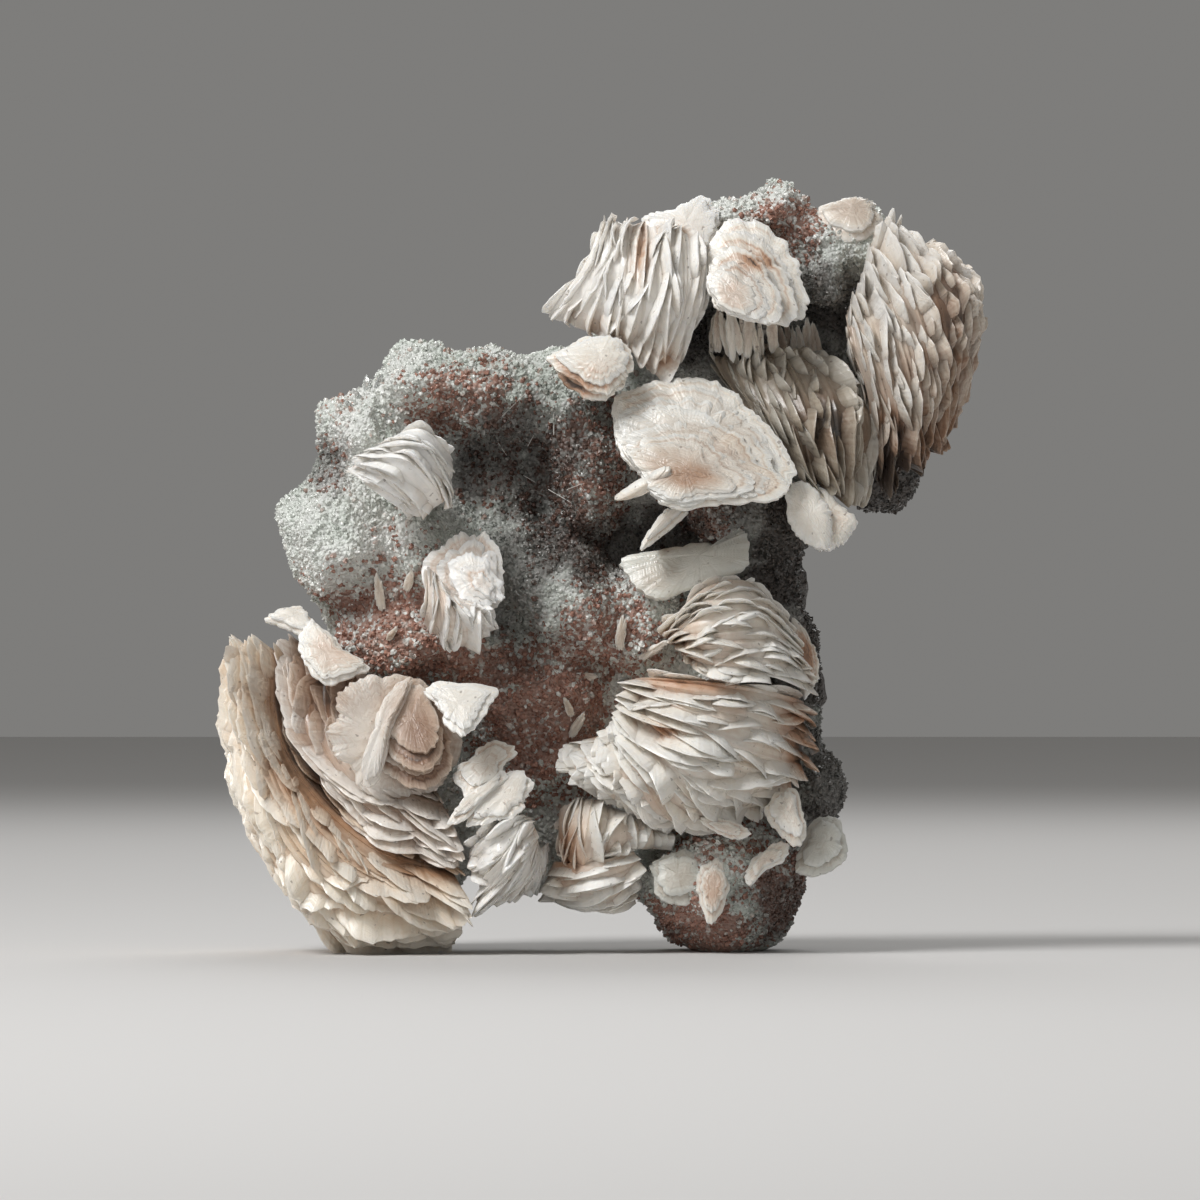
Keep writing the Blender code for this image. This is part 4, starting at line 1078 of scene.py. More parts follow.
def baryte_finish(name, rim, face, gap, stain):
    """Milky baryte: white rims, faces in a warm tint, and iron stain with painted shade deep in the
    gaps, near black at the deepest.
    """
    finish = Finish(name, IOR=BARYTE_IOR, Subsurface_Weight=0.25, Subsurface_Scale=MILKY_DEPTH,
                    Subsurface_Radius=(1.0, 0.85, 0.7))
    depth = finish.attribute("depth")
    tone = finish.attribute("tone")
    cloud = finish.band(finish.grain(60.0), 0.42, 0.72) * stain
    along = {"noise_dimensions": "1D"}
    layers = finish.node("ShaderNodeTexNoise", along, {"W": finish.attribute("growth") + tone * 40,
                                                       "Scale": 2.2, "Detail": 3.0})
    ribs = finish.node("ShaderNodeTexNoise", along, {"W": finish.attribute("fibre") + tone * 70,
                                                     "Scale": 1.6, "Detail": 3.0})
    ribs = (ribs - 0.5) * finish.band(finish.attribute("growth"), 4.0, 0.5)
    streak = (finish.grain(900.0, 2.0) - 0.5) * 0.2 + (layers - 0.5) * 0.25 + ribs * 0.3
    level = depth + cloud * 0.5 + (tone - 0.5) * 0.22 + streak
    # Near-black colour at the deepest level: painted shadow in the gaps
    deep = tuple(0.02 + 0.15 * channel for channel in gap)
    whole = finish.ramp(level, (0.08, rim), (0.40, face), (0.78, gap), (1.0, deep))
    speck = finish.band(finish.grain(1500.0, 0.0), 0.79, 0.82)
    finish.colour(finish.mix(speck * 0.5, whole, SPECK))
    finish.roughness(0.31 + (finish.grain(500.0) - 0.5) * 0.3)
    finish.bump(finish.grain(1100.0, 5.0) * 0.5 + layers * 0.7 + ribs * 0.6, 0.45, 0.35 * MM)
    return finish.material


# Colours of the rim, the face and the gap, and how cloudy the stain is
# Lighter copy of the white baryte below: painted light that brightens the pieces wearing it
painted_light_baryte = baryte_finish(
    "painted_light_baryte", (0.95, 0.94, 0.91), (0.92, 0.87, 0.80), (0.60, 0.40, 0.28), 0.4
)
white_baryte = baryte_finish(
    "white_baryte", (0.91, 0.89, 0.84), (0.86, 0.80, 0.71), (0.52, 0.31, 0.20), 0.45
)
peach_baryte = baryte_finish(
    "stained_baryte", (0.92, 0.85, 0.74), (0.84, 0.69, 0.54), (0.42, 0.24, 0.14), 0.7
)
# Brown-grey baryte of the rosette, its face colour partly darkened as painted shade
rosette_shaded_baryte = baryte_finish(
    "rosette_shaded_baryte", (0.86, 0.80, 0.73), (0.56, 0.43, 0.34), (0.29, 0.17, 0.11), 0.5
)
# Grey-tan baryte, its colours partly darkened as painted shade
grey_shaded_baryte = baryte_finish(
    "grey_shaded_baryte", (0.60, 0.57, 0.51), (0.43, 0.38, 0.31), (0.22, 0.155, 0.11), 0.4
)
pale_baryte = baryte_finish(
    "pale_baryte", (0.76, 0.76, 0.71), (0.66, 0.65, 0.59), (0.42, 0.34, 0.26), 0.4
)
grey_white_baryte = baryte_finish(
    "grey_white_baryte", (0.84, 0.81, 0.76), (0.70, 0.62, 0.53), (0.36, 0.23, 0.16), 0.5
)
peach_white_baryte = baryte_finish(
    "peach_white_baryte", (0.86, 0.84, 0.78), (0.79, 0.71, 0.61), (0.44, 0.28, 0.19), 0.5
)

crest_top_left = Baryte(20)
crest_top_left.fan(
    lines=(
        ((-0.1, -5, 104), (-2.9, -8, 96), (-9.4, -5, 88.1)),
        ((1.5, -9, 104), (0.7, -12, 94.6), (-2.7, -8, 85.5)),
        ((4.6, -10, 103.5), (4.6, -15, 91.1), (2.8, -10, 82.7)),
        ((8.5, -11, 102.9), (9.4, -16, 91.1), (6.9, -10, 79.7)),
        ((12.5, -11, 102.3), (12.7, -14, 91.8), (9.8, -9, 80.2)),
        ((15, -9, 99.5), (14.4, -11, 91.1), (11.5, -9, 83.9)),
    ),
    roots=((2.9, 5, 91.1), (11.1, 5, 91.1)),
    spacing=1.7, length=(7.0, 15.0), lean=2.3, core=0.3,
)
crest_top_left.plate(
    outline=(
        (5.6, -3.9, 102.5), (9.4, -3.4, 103.3), (13.9, -2, 105.6),
        (16.1, -3.3, 103.5), (16.1, -5.8, 99.5), (13.9, -8, 96), (8.3, -7.7, 96.5),
    ),
    bulge=0.6,
    thickness=1.7,
    root=(12.5, 8, 99.5),
)
stains_and_painted_shading = (
    # x, z, half width, half height, strength
    (5.5, 97.0, 1.6, 4.5, 0.45),
    (9.0, 82.0, 5.0, 3.0, 0.3),
    (-1.0, 86.0, 5.0, 2.5, 0.15),
)
crest_top_left.piece("upright_leaves", painted_light_baryte, "baryte_crest_top_left", stains_and_painted_shading=stains_and_painted_shading)

# Disc at the top. Nested tabular crystals that face the viewer, with thin white rims, cream faces
# and a brown line between them, partly stain and partly painted shade under each rim; all are fixed
# to the quartz behind.
disc_top = Baryte(21)
disc_style = dict(bulge=0.7, thickness=2.1, shells=3, step=1.2, shift=(-2.4, 0.0, -2.8),
                  lobe=0.4, gap=0.26, deep=0.3)
disc_top.plate(
    outline=(
        (14.8, -9.1, 96.5), (16.1, -7.6, 100.7), (18.8, -7, 102.3),
        (22.3, -7.2, 101.8), (25.1, -8, 99.5), (27, -9.1, 96.5),
        (28.4, -10.3, 92.8), (28.6, -11.4, 89.7), (27.2, -12, 88.1),
        (25.1, -11.7, 89), (20.2, -11.5, 89.5), (16, -11.1, 90.6),
    ),
    **disc_style,
    root=(20.9, 6, 94.6),
)
disc_top.plate(
    outline=(
        (14.7, -12.2, 94.6), (15.3, -10.7, 98.1), (17.8, -10, 100),
        (21.1, -10.2, 99.5), (24.1, -11.2, 97), (26.2, -12.7, 93.2),
        (27, -14.1, 89.7), (25.8, -15, 87.6), (22.3, -14.9, 87.8),
        (18.5, -14.4, 89.2), (15.5, -13.8, 90.6),
    ),
    **disc_style,
)
disc_top.plate(
    outline=(
        (14.8, -15.3, 93.2), (15.4, -13.8, 96.5), (17.8, -13, 98.1),
        (20.6, -13.3, 97.4), (23, -14.5, 95.1), (24.8, -16.1, 91.7),
        (25.2, -17.4, 88.9), (23.4, -18, 87.6), (20.2, -17.7, 88.2),
        (16.9, -16.9, 90),
    ),
    **disc_style,
)
stains_and_painted_shading = (
    # x, z, half width, half height, strength
    (21.5, 96.0, 3.0, 1.2, 0.45),
    (18.0, 91.0, 5.0, 3.5, 0.1),
)
disc_top.piece("nested_discs", white_baryte, "baryte_disc_top", stains_and_painted_shading=stains_and_painted_shading)

# Large fan at the upper right. Long spindle-shaped crystals that spread from one root in the
# quartz, steep at the left and flatter at the right, with a flat plate on top.
fan_right = Baryte(22)
fan_right.fan(
    lines=(
        ((33.7, -8, 90.4), (34.9, -11, 84.1), (37.4, -9, 76.4), (37.2, -4, 66.5)),
        ((35.6, -10, 94.6), (38.5, -15, 85.5), (41.4, -14, 74.6), (39.9, -5, 63.4)),
        ((37.1, -9, 99.5), (42.6, -15, 88.6), (44.9, -14, 76.9), (43.2, -5, 64.6)),
        ((39.3, -6, 103.2), (47, -12, 93.2), (49, -11, 80.6), (46.2, -3, 67.3)),
        ((42.3, -1, 101.2), (51, -5, 95.3), (52.2, -5, 85.2), (49.2, 0, 71.8)),
        ((46.1, 6, 99.8), (52.9, 4, 93.5), (53.2, 4, 85.5), (50, 7, 75.5)),
        ((45.4, 13, 98.1), (51.4, 13, 91.1), (51, 13, 84.1), (47.5, 13, 74.3)),
    ),
    roots=((36, 9, 81.3), (39.1, 12, 84.1)),
    spacing=1.35, length=(6.0, 11.0), lean=2.0, point=0.8,
)
fan_right.plate(
    outline=(
        (30, -1.5, 103.2), (32.1, -0.4, 104.7), (34.9, 0, 105.3),
        (37.7, -0.1, 105.1), (38.6, -0.9, 104), (39.1, -2.5, 101.6),
        (36.3, -4, 99.5), (31.4, -3.5, 100.2),
    ),
    bulge=0.6,
    thickness=1.8,
    root=(34.9, 10, 100.2),
)
# Painted shade down the right edge of the fan, and nearly black painted shadow at its bottom
stains_and_painted_shading = (
    # x, z, half width, half height, strength
    (50.5, 76.0, 6.5, 20.0, 0.6),
    (40.0, 63.0, 9.0, 8.0, 1.2),
    (33.5, 75.0, 3.0, 10.0, 0.3),
)
fan_right.piece("spindle_fan", grey_white_baryte, "baryte_fan_right", stains_and_painted_shading=stains_and_painted_shading)

# Fan below the disc. Broad grey-tan crystals that overlap like feathers, rooted in the quartz.
fan_middle = Baryte(23)
fan_middle.fan(
    lines=(
        ((15, -4, 85), (15.8, -5.5, 81.9), (19.2, -7.5, 76.9), (23.7, -9, 69.9)),
        ((18.8, -4, 85.7), (20.6, -8, 80.6), (23.7, -12, 74.1), (27.9, -11, 65.4)),
        ((23.4, -4, 85.8), (26.2, -10, 80.2), (29, -14, 73.2), (30.7, -11, 64)),
        ((28.1, -4, 85.8), (32.3, -9, 80.6), (34.3, -13, 73.6), (33.7, -9, 62)),
        ((29.5, 1, 84.8), (36, -5, 79.1), (38.5, -8, 72.7), (36.3, -4, 61.2)),
    ),
    roots=((23.4, 6, 72.9), (27.9, 8, 72.9)),
    spacing=1.7, length=(6.0, 11.0), lean=2.8, point=0.7,
)
stains_and_painted_shading = (
    # x, z, half width, half height, strength
    (32.0, 70.0, 5.0, 9.0, 0.45),
    (22.0, 88.0, 8.0, 3.0, 0.5),
    (20.0, 80.0, 12.0, 10.0, 0.1),
)
fan_middle.piece("tan_fan", grey_shaded_baryte, "baryte_fan_middle", stains_and_painted_shading=stains_and_painted_shading)

# Shell in the middle. Broad domed crystals nested in each other, peach-coloured on their faces,
# with a narrow spike at the lower left.
shell_middle = Baryte(24)
shell_style = dict(bulge=0.9, thickness=2.8, shells=4, step=1.15, shift=(-3.6, 0.0, -3.0),
                   lobe=0.45, gap=0.3, deep=0.35)
shell_middle.plate(
    outline=(
        (1.5, -12.5, 76.9), (5.5, -11.5, 79.1), (11.1, -11, 80.2),
        (16.7, -11.4, 79.4), (20.6, -12.7, 76.4), (23.9, -14.2, 72.9),
        (26.7, -16.2, 68.5), (25.9, -17.8, 65.1), (20.2, -18, 64.5),
        (12.5, -17.9, 64.8), (6.2, -17.1, 66.5), (2.9, -15.5, 70.1),
    ),
    **shell_style,
    root=(13.9, 4, 71.5),
)
shell_middle.plate(
    outline=(
        (2, -14.5, 73.6), (6.9, -12.4, 76.9), (12.5, -12, 77.6), (17.4, -13, 76),
        (21.1, -15.3, 72.4), (23.7, -17.9, 68.5), (24.2, -20.4, 64.5),
        (16.7, -21, 63.6), (9, -20.4, 64.5), (4.8, -18.4, 67.6),
    ),
    **shell_style,
)
shell_middle.plate(
    outline=(
        (2.9, -17.3, 71.3), (7.6, -15.3, 74.3), (13.9, -15, 74.8),
        (18.8, -16.5, 72.4), (22, -19.1, 68.5), (25.6, -20.5, 66.2),
        (23.9, -22.2, 63.7), (17.4, -22.6, 63), (11.3, -23, 62.4), (7.1, -22, 64),
        (5.2, -19.5, 67.9),
    ),
    **shell_style,
)
shell_middle.plate(
    outline=(
        (9.1, -22, 67.3), (9.5, -21, 65.9), (6.9, -20, 64.4), (2.9, -19, 63),
        (2.2, -19.3, 63.4), (5.5, -20.8, 65.7),
    ),
    bulge=0.3,
    thickness=1.4,
    shells=1,
    lobe=0.2,
)
stains_and_painted_shading = (
    # x, z, half width, half height, strength
    (12.0, 66.0, 3.5, 2.0, 0.3),
    (6.0, 68.5, 4.0, 3.0, 0.15),
    (1.0, 64.5, 2.0, 2.0, 0.35),
)
shell_middle.piece("nested_shells", peach_white_baryte, "baryte_shell_middle", stains_and_painted_shading=stains_and_painted_shading)

# Two oval plates below the tan fan, smooth and nearly white, side by side on one root.
plate_right = Baryte(25)
oval_style = dict(bulge=0.8, thickness=1.2, shells=1, lobe=0.2)
plate_right.plate(
    outline=(
        (25.8, -12.4, 64.5), (27.9, -12, 65.7), (30, -12.4, 64.4),
        (31.6, -13.3, 61.7), (32.2, -14.1, 58.9), (31.4, -15, 56.3),
        (29.3, -14.9, 56.6), (27.3, -14.5, 57.8), (26, -13.6, 60.6),
    ),
    **oval_style,
    root=(26.5, 8, 62.4),
)
plate_right.plate(
    outline=(
        (27.3, -9.5, 65.1), (30.4, -9.7, 64.7), (33.7, -10.7, 62),
        (35.4, -11.4, 60.3), (34.3, -12.4, 57.8), (32.3, -13, 56.3),
        (30.1, -13, 56.3), (28.3, -11.9, 58.9),
    ),
    **oval_style,
    root=(26.5, 8, 62.4),
)
plate_right.piece("oval_plates", white_baryte, "baryte_plate_right")

# Two lip-shaped plates where the druse and the upper crest meet.
plate_junction = Baryte(26)
lip_style = dict(bulge=0.9, thickness=1.3, shells=2, step=0.7, gap=0.15)
plate_junction.plate(
    outline=(
        (-7.4, -15.6, 82.5), (-4.3, -14.5, 84.7), (-0.8, -14, 85.7),
        (2.2, -14.1, 85.5), (3.9, -14.8, 84.1), (4.3, -16.2, 81.3),
        (2.9, -17.1, 79.5), (0.6, -18, 77.8), (-2.9, -17.3, 79.2),
    ),
    **lip_style,
    root=(-1.5, 2, 79.2),
)
plate_junction.plate(
    outline=(
        (-6.3, -13.8, 81.1), (-3.9, -13.2, 82.2), (-0.1, -13, 82.5),
        (2.9, -13.3, 81.9), (3.5, -14.7, 79.4), (0.7, -16, 77.1),
        (-2.9, -15.7, 77.7),
    ),
    **lip_style,
    root=(-1.5, 2, 78.5),
)
# Painted shade between and under the two lips
stains_and_painted_shading = (
    # x, z, half width, half height, strength
    (-5.5, 78.5, 5.0, 2.5, 0.75),
    (-4.0, 81.0, 6.0, 4.0, 0.12),
)
plate_junction.piece("lip_plates", white_baryte, "baryte_plate_junction", stains_and_painted_shading=stains_and_painted_shading)

# Single small blade that stands out of the quartz below the shell.
blade_small = Baryte(27)
blade_small.plate(
    outline=(
        (5.5, -13, 56.3), (6.4, -11.4, 58.8), (8.8, -9.7, 61.3), (11.3, -9, 62.4),
        (12.2, -9.4, 61.9), (10.2, -10.8, 59.6), (7.7, -12.1, 57.7),
    ),
    bulge=0.5,
    thickness=1.4,
    root=(9, 6, 58.9),
)
blade_small.piece("small_blade", white_baryte, "baryte_blade_small")

# Broad pale plate with an ear at its right end, smooth and slightly green.
plate_eared = Baryte(28)
plate_eared.plate(
    outline=(
        (2.7, -6.4, 54.3), (6.2, -5.7, 55.7), (12.5, -5.2, 56.7),
        (16.4, -5.2, 56.6), (18.1, -4.6, 57.8), (19.2, -4, 58.9),
        (20.4, -4.4, 58.2), (20.7, -5.9, 55.3), (19.7, -6.9, 53.3),
        (13.9, -8, 51.4), (8.8, -9, 49.4), (5.2, -8.3, 50.8),
    ),
    bulge=0.6,
    thickness=1.3,
    shells=1,
    lobe=0.25,
    root=(11.8, 6, 54.7),
)
stains_and_painted_shading = (
    # x, z, half width, half height, strength
    (5.0, 51.0, 5.0, 3.0, 0.5),
)
plate_eared.piece("eared_plate", pale_baryte, "baryte_plate_eared", stains_and_painted_shading=stains_and_painted_shading)

# Fan at the top of the lower right crest: leaves that spread up and to the right.
fan_lower_right = Baryte(29)
fan_lower_right.fan(
    lines=(
        ((6.6, -15, 44.7), (13.9, -14, 51.4), (20.6, -10, 52.5), (25.9, -5, 48.3)),
        ((7.4, -17, 44.2), (14.1, -19, 48.3), (21.6, -15, 49.1), (27.9, -7, 44.7)),
        ((8.4, -18, 43.5), (15.5, -22, 43.5), (23.4, -17, 43.8), (29, -8, 41.3)),
        ((9.9, -18, 41.9), (16, -22, 39.6), (23.9, -18, 39.6), (30.2, -8, 37.7)),
    ),
    roots=((18.8, 3, 43.5), (19.5, 3, 40.7)),
    spacing=1.4, length=(6.0, 12.0), lean=2.2, slant=0.4,
)
fan_lower_right.plate(
    outline=(
        (26.5, -1, 46.1), (28.7, -1.3, 44.7), (30.1, -1.9, 41.4),
        (30.2, -2.7, 37.7), (27.9, -3, 36),
    ),
    bulge=0.5,
    thickness=1.6,
    root=(25.1, 6, 40.7),
)
stains_and_painted_shading = (
    # x, z, half width, half height, strength
    (9.0, 42.0, 3.5, 3.0, 0.5),
    (30.0, 42.0, 3.0, 6.0, 0.3),
)
fan_lower_right.piece("upper_spread", white_baryte, "baryte_fan_lower_right", stains_and_painted_shading=stains_and_painted_shading)

# Main crest at the lower right. Its leaves start from the tip at the left and spread to the
# right, to the lower right and down; a small blade lies under it.
crest_lower_right = Baryte(30)
crest_lower_right.fan(
    lines=(
        ((2.2, -16, 39.1), (11.1, -22, 38.5), (21.6, -18, 37.2), (30.4, -7, 35.1)),
        ((1.7, -17.5, 37.4), (12.5, -24, 33.7), (22.5, -19, 31.2), (30.7, -7, 28.4)),
        ((1.5, -18, 36), (12.5, -25, 28.4), (21.6, -20, 24.6), (28.7, -9, 22.5)),
        ((1.1, -17.5, 34.6), (9, -24, 25.6), (15.5, -19, 19.5), (23, -9, 18.1)),
        ((0.4, -16, 32.9), (4.6, -21, 25.1), (8.3, -18, 18.6), (12.5, -11, 16.2)),
        ((-1, -13.5, 31.1), (0.3, -18, 25.1), (2.1, -16, 20.9), (5.5, -10, 18.6)),
        ((-3.6, -11, 29.8), (-4.6, -14, 26), (-2.9, -14, 23.2), (-0.1, -10, 21.6)),
    ),
    roots=((18.1, 2, 34), (7.6, 2, 28.8)),
    spacing=1.6, length=(6.0, 13.0), lean=2.5, slant=0.6,
)
crest_lower_right.plate(
    outline=(
        (13.6, -17, 18.6), (16.7, -17, 19), (20.3, -17, 17.4), (19.7, -17, 16),
        (16.9, -17, 16.4),
    ),
    bulge=0.4,
    thickness=1.3,
    root=(16.9, -4, 19),
)
stains_and_painted_shading = (
    # x, z, half width, half height, strength
    (12.0, 38.5, 6.0, 2.5, 0.35),
    (8.0, 31.0, 4.0, 3.0, 0.25),
    (30.5, 30.0, 4.5, 11.0, 0.6),
)
crest_lower_right.piece("main_spread", white_baryte, "baryte_crest_lower_right", stains_and_painted_shading=stains_and_painted_shading)

# Cup-shaped crest at the lower left. Long overlapping leaves follow the rim of the cup round,
# cream-coloured outside and stained brown inside.
crest_lower_left = Baryte(31)
crest_lower_left.fan(
    lines=(
        (
            (-46.3, -9, 45.1), (-45.2, -13, 32.1), (-39.3, -17, 22.3),
            (-29.5, -19, 14.1), (-17.2, -18, 9.2),
        ),
        (
            (-48.6, -10, 45.5), (-47.5, -17, 30.7), (-41, -22, 17.5),
            (-30.9, -23, 9), (-17.2, -19, 6.3),
        ),
        (
            (-50.4, -11, 44.7), (-49.8, -16, 30.1), (-43.5, -21, 13.9),
            (-32.9, -22, 4.9), (-17.6, -16, 3.5),
        ),
        (
            (-51.5, -6, 45.1), (-52.1, -10, 30.1), (-46.3, -15, 12.5),
            (-35.4, -17, 1.8), (-19.2, -11, 1.1),
        ),
        (
            (-51.4, 1, 44.7), (-53.1, -1, 30.1), (-48, -4, 14.7),
            (-36.3, -5, 0.1), (-22.3, -4, -0.8),
        ),
        (
            (-49.6, 9, 43.3), (-51.7, 9, 30.2), (-46.6, 8, 14.8),
            (-36.5, 7, 1.5), (-23.7, 6, 0.1),
        ),
    ),
    roots=((-37.7, 2, 26.5), (-33.7, 10, 22.5)),
    spacing=1.55, length=(7.0, 16.0), lean=2.9, slant=0.45, full=0.8,
)
stains_and_painted_shading = (
    # x, z, half width, half height, strength
    # Painted light: this negative patch lightens the steep leaves at the left, which lie in shade
    (-49.0, 27.0, 5.0, 10.0, -0.2),
    (-46.0, 39.0, 5.0, 6.5, 0.15),
    (-40.5, 36.0, 4.0, 9.0, 0.7),
    (-48.5, 35.0, 3.0, 4.0, 0.15),
    (-43.0, 28.0, 4.5, 4.5, 0.35),
    (-36.5, 22.5, 5.0, 4.0, 0.4),
    (-28.0, 16.5, 6.0, 3.5, 0.35),
    (-20.0, 12.0, 5.0, 2.5, 0.3),
)
crest_lower_left.piece("cup_leaves", peach_baryte, "baryte_crest_lower_left", stains_and_painted_shading=stains_and_painted_shading)

# Rosette in the cup: a jagged plate, small cups nested in front of it, a ridge between the two,
# and thin leaves that fill the space towards the large cup. The cups' darker insides are painted
# shade.
rosette = Baryte(32)
rosette.fan(
    lines=(
        ((-34.6, -5, 42.3), (-35.2, -12, 33.6), (-29.8, -17, 24.2), (-20.9, -17, 19.7)),
        ((-39.6, -6, 44.4), (-38.8, -14, 32.2), (-30.6, -19.5, 20.4), (-18.9, -19, 15.5)),
        ((-43.6, -6, 45.2), (-42.3, -14, 31.6), (-32.2, -19, 17.9), (-18.6, -19, 12.2)),
    ),
    roots=((-27.4, 3, 26.7), (-28.8, 3, 24.6)),
    spacing=1.4, length=(7.0, 14.0), lean=1.9, slant=0.6,
)
rosette.plate(
    outline=(
        (-24.6, -14.8, 37.9), (-30.2, -17.1, 38.4), (-33.7, -18.5, 37.5),
        (-36, -19.4, 35.6), (-36.4, -19.6, 33), (-37.5, -20, 30.2),
        (-36.3, -19.5, 27.4), (-34.3, -18.7, 26), (-33, -18.2, 23.1),
        (-29.3, -16.7, 21.7), (-24.6, -14.8, 22.3), (-20.9, -13.3, 25.3),
        (-20, -13, 30.9),
    ),
    bulge=0.3,
    thickness=1.4,
    shells=1,
    lobe=0.5,
    deep=0.25,
    root=(-25.3, 0, 29.5),
)
rosette.plate(
    outline=(
        (-24.8, -13, 37.5), (-28.7, -13.2, 37.1), (-31.2, -14.7, 34.4),
        (-32.1, -16.8, 30.7), (-31.2, -18.8, 27.2), (-28.1, -20.2, 24.6),
        (-24.6, -21, 23.2), (-21.7, -20.1, 24.9), (-20.6, -18.4, 27.9),
        (-21.7, -16.3, 31.6),
    ),
    bulge=0.6,
    thickness=2.1,
    shells=4,
    step=1.0,
    shift=(-1.0, 0.0, 3.0),
    lobe=0.35,
    gap=0.2,
    deep=0.3,
)
rosette.plate(
    outline=(
        (-25.1, -15, 37.4), (-28.1, -15.5, 36.5), (-30.4, -17, 34),
        (-31.2, -18.8, 31.2), (-29.3, -20.8, 27.9), (-26.5, -22, 25.9),
        (-23.4, -21.8, 26.2), (-21.7, -20.1, 29), (-22.8, -17.4, 33.5),
    ),
    bulge=0.7,
    thickness=1.4,
    shells=2,
    step=1.2,
    shift=(0.6, 0.0, 1.8),
    lobe=0.35,
    gap=0.2,
    deep=0.3,
)
# The ridge that parts the jagged plate from the cups
rosette.plate(
    outline=(
        (-26.3, -17.2, 38.2), (-28.6, -17.8, 37.3), (-30.6, -19.2, 34.3), (-31.6, -20.6, 30.4),
        (-33.0, -21.2, 26.6), (-32.6, -21.2, 23.6), (-30.9, -21.6, 24.2), (-29.8, -21.9, 27.8),
        (-29.0, -21.2, 31.6), (-27.3, -19.4, 35.2),
    ),
    bulge=0.9,
    thickness=1.5,
    shells=2,
    step=0.5,
    lobe=0.3,
    deep=0.1,
    root=(-27.5, -14, 30.5),
)
# Painted shade on the nested cups; the negative patches are painted light on the jagged plate and
# in the valley below it
stains_and_painted_shading = (
    # x, z, half width, half height, strength
    (-25.0, 30.5, 4.5, 7.5, 0.5),
    (-33.0, 30.0, 4.0, 8.0, -0.25),
    (-38.5, 37.0, 4.0, 8.0, 0.5),
    (-35.0, 21.0, 8.0, 5.0, -0.1),
    (-24.0, 15.0, 8.0, 5.0, -0.15),
)
rosette.piece("rosette_plates", rosette_shaded_baryte, "baryte_rosette", stains_and_painted_shading=stains_and_painted_shading)

# Three-cornered white plate beside the rosette.
plate_triangular = Baryte(33)
plate_triangular.plate(
    outline=(
        (-24.4, -19, 36.5), (-21.8, -18, 37.9), (-14.8, -18.6, 37.1),
        (-15.3, -20.5, 34.6), (-17.4, -23, 31.2), (-19.5, -23.5, 30.5),
        (-21.6, -21.9, 32.6), (-23, -20.2, 35),
    ),
    bulge=0.2,
    thickness=1.1,
    shells=2,
    step=0.8,
    lobe=0.45,
    root=(-17.8, 0, 36.3),
)
plate_triangular.piece("triangular_plate", white_baryte, "baryte_plate_triangular")

# Jagged white plates between the rosette and the recess.
plates_lower = Baryte(34)
jagged_style = dict(bulge=0.2, thickness=1.1, shells=2, step=0.9, lobe=0.6)
plates_lower.plate(
    outline=(
        (-20.3, -17.5, 25.1), (-18.3, -16.3, 27.3), (-15.5, -15, 29.5),
        (-13.4, -15.3, 29), (-11.8, -15.9, 27.9), (-13.7, -16.7, 26.5),
        (-14.3, -17.8, 24.5), (-16.7, -18.8, 22.8), (-19, -19, 22.4),
    ),
    **jagged_style,
    root=(-15.5, 0, 23.9),
)
plates_lower.plate(
    outline=(
        (-18.6, -21, 18.3), (-16.2, -18.6, 22.5), (-13, -17, 25.3),
        (-9.5, -17.3, 24.8), (-9.9, -19.1, 21.7), (-12, -20.4, 19.5),
        (-15.3, -20.9, 18.5),
    ),
    **jagged_style,
    root=(-12, 0, 19.7),
)
plates_lower.plate(
    outline=(
        (-21.3, -22, 18.2), (-19.7, -20.6, 20.9), (-16.7, -19.2, 23.4),
        (-13.6, -18, 25.6), (-13, -18.6, 24.5), (-16.1, -20.1, 21.7),
        (-18.6, -21.5, 19.2),
    ),
    **jagged_style,
)
plates_lower.piece("jagged_plates", white_baryte, "baryte_plates_lower")

# Spray of white finger-like crystals that point down to the left.
spray_lower = Baryte(35)
spray_lower.fan(
    lines=(
        ((-11.1, -18, 20.3), (-15.5, -21, 17.5), (-20, -18, 13.7)),
        ((-9.8, -19, 19.5), (-14.1, -23, 13.9), (-18.3, -19, 9.7)),
        ((-9, -18, 17.6), (-12.6, -22, 11.1), (-18.6, -17, 5.2)),
        ((-8.5, -13, 14.8), (-9.9, -16, 10.5), (-13.7, -13, 6.3)),
        ((-7.4, -8, 15.5), (-7.8, -10, 11.3), (-9.9, -8, 7.1)),
    ),
    roots=((-9.7, 0, 14.8), (-8.5, 2, 14.1)),
    spacing=1.9, length=(6.0, 10.0), lean=1.5, point=0.8, full=0.8, core=0.25,
)
spray_lower.piece("white_spray", painted_light_baryte, "baryte_spray_lower")

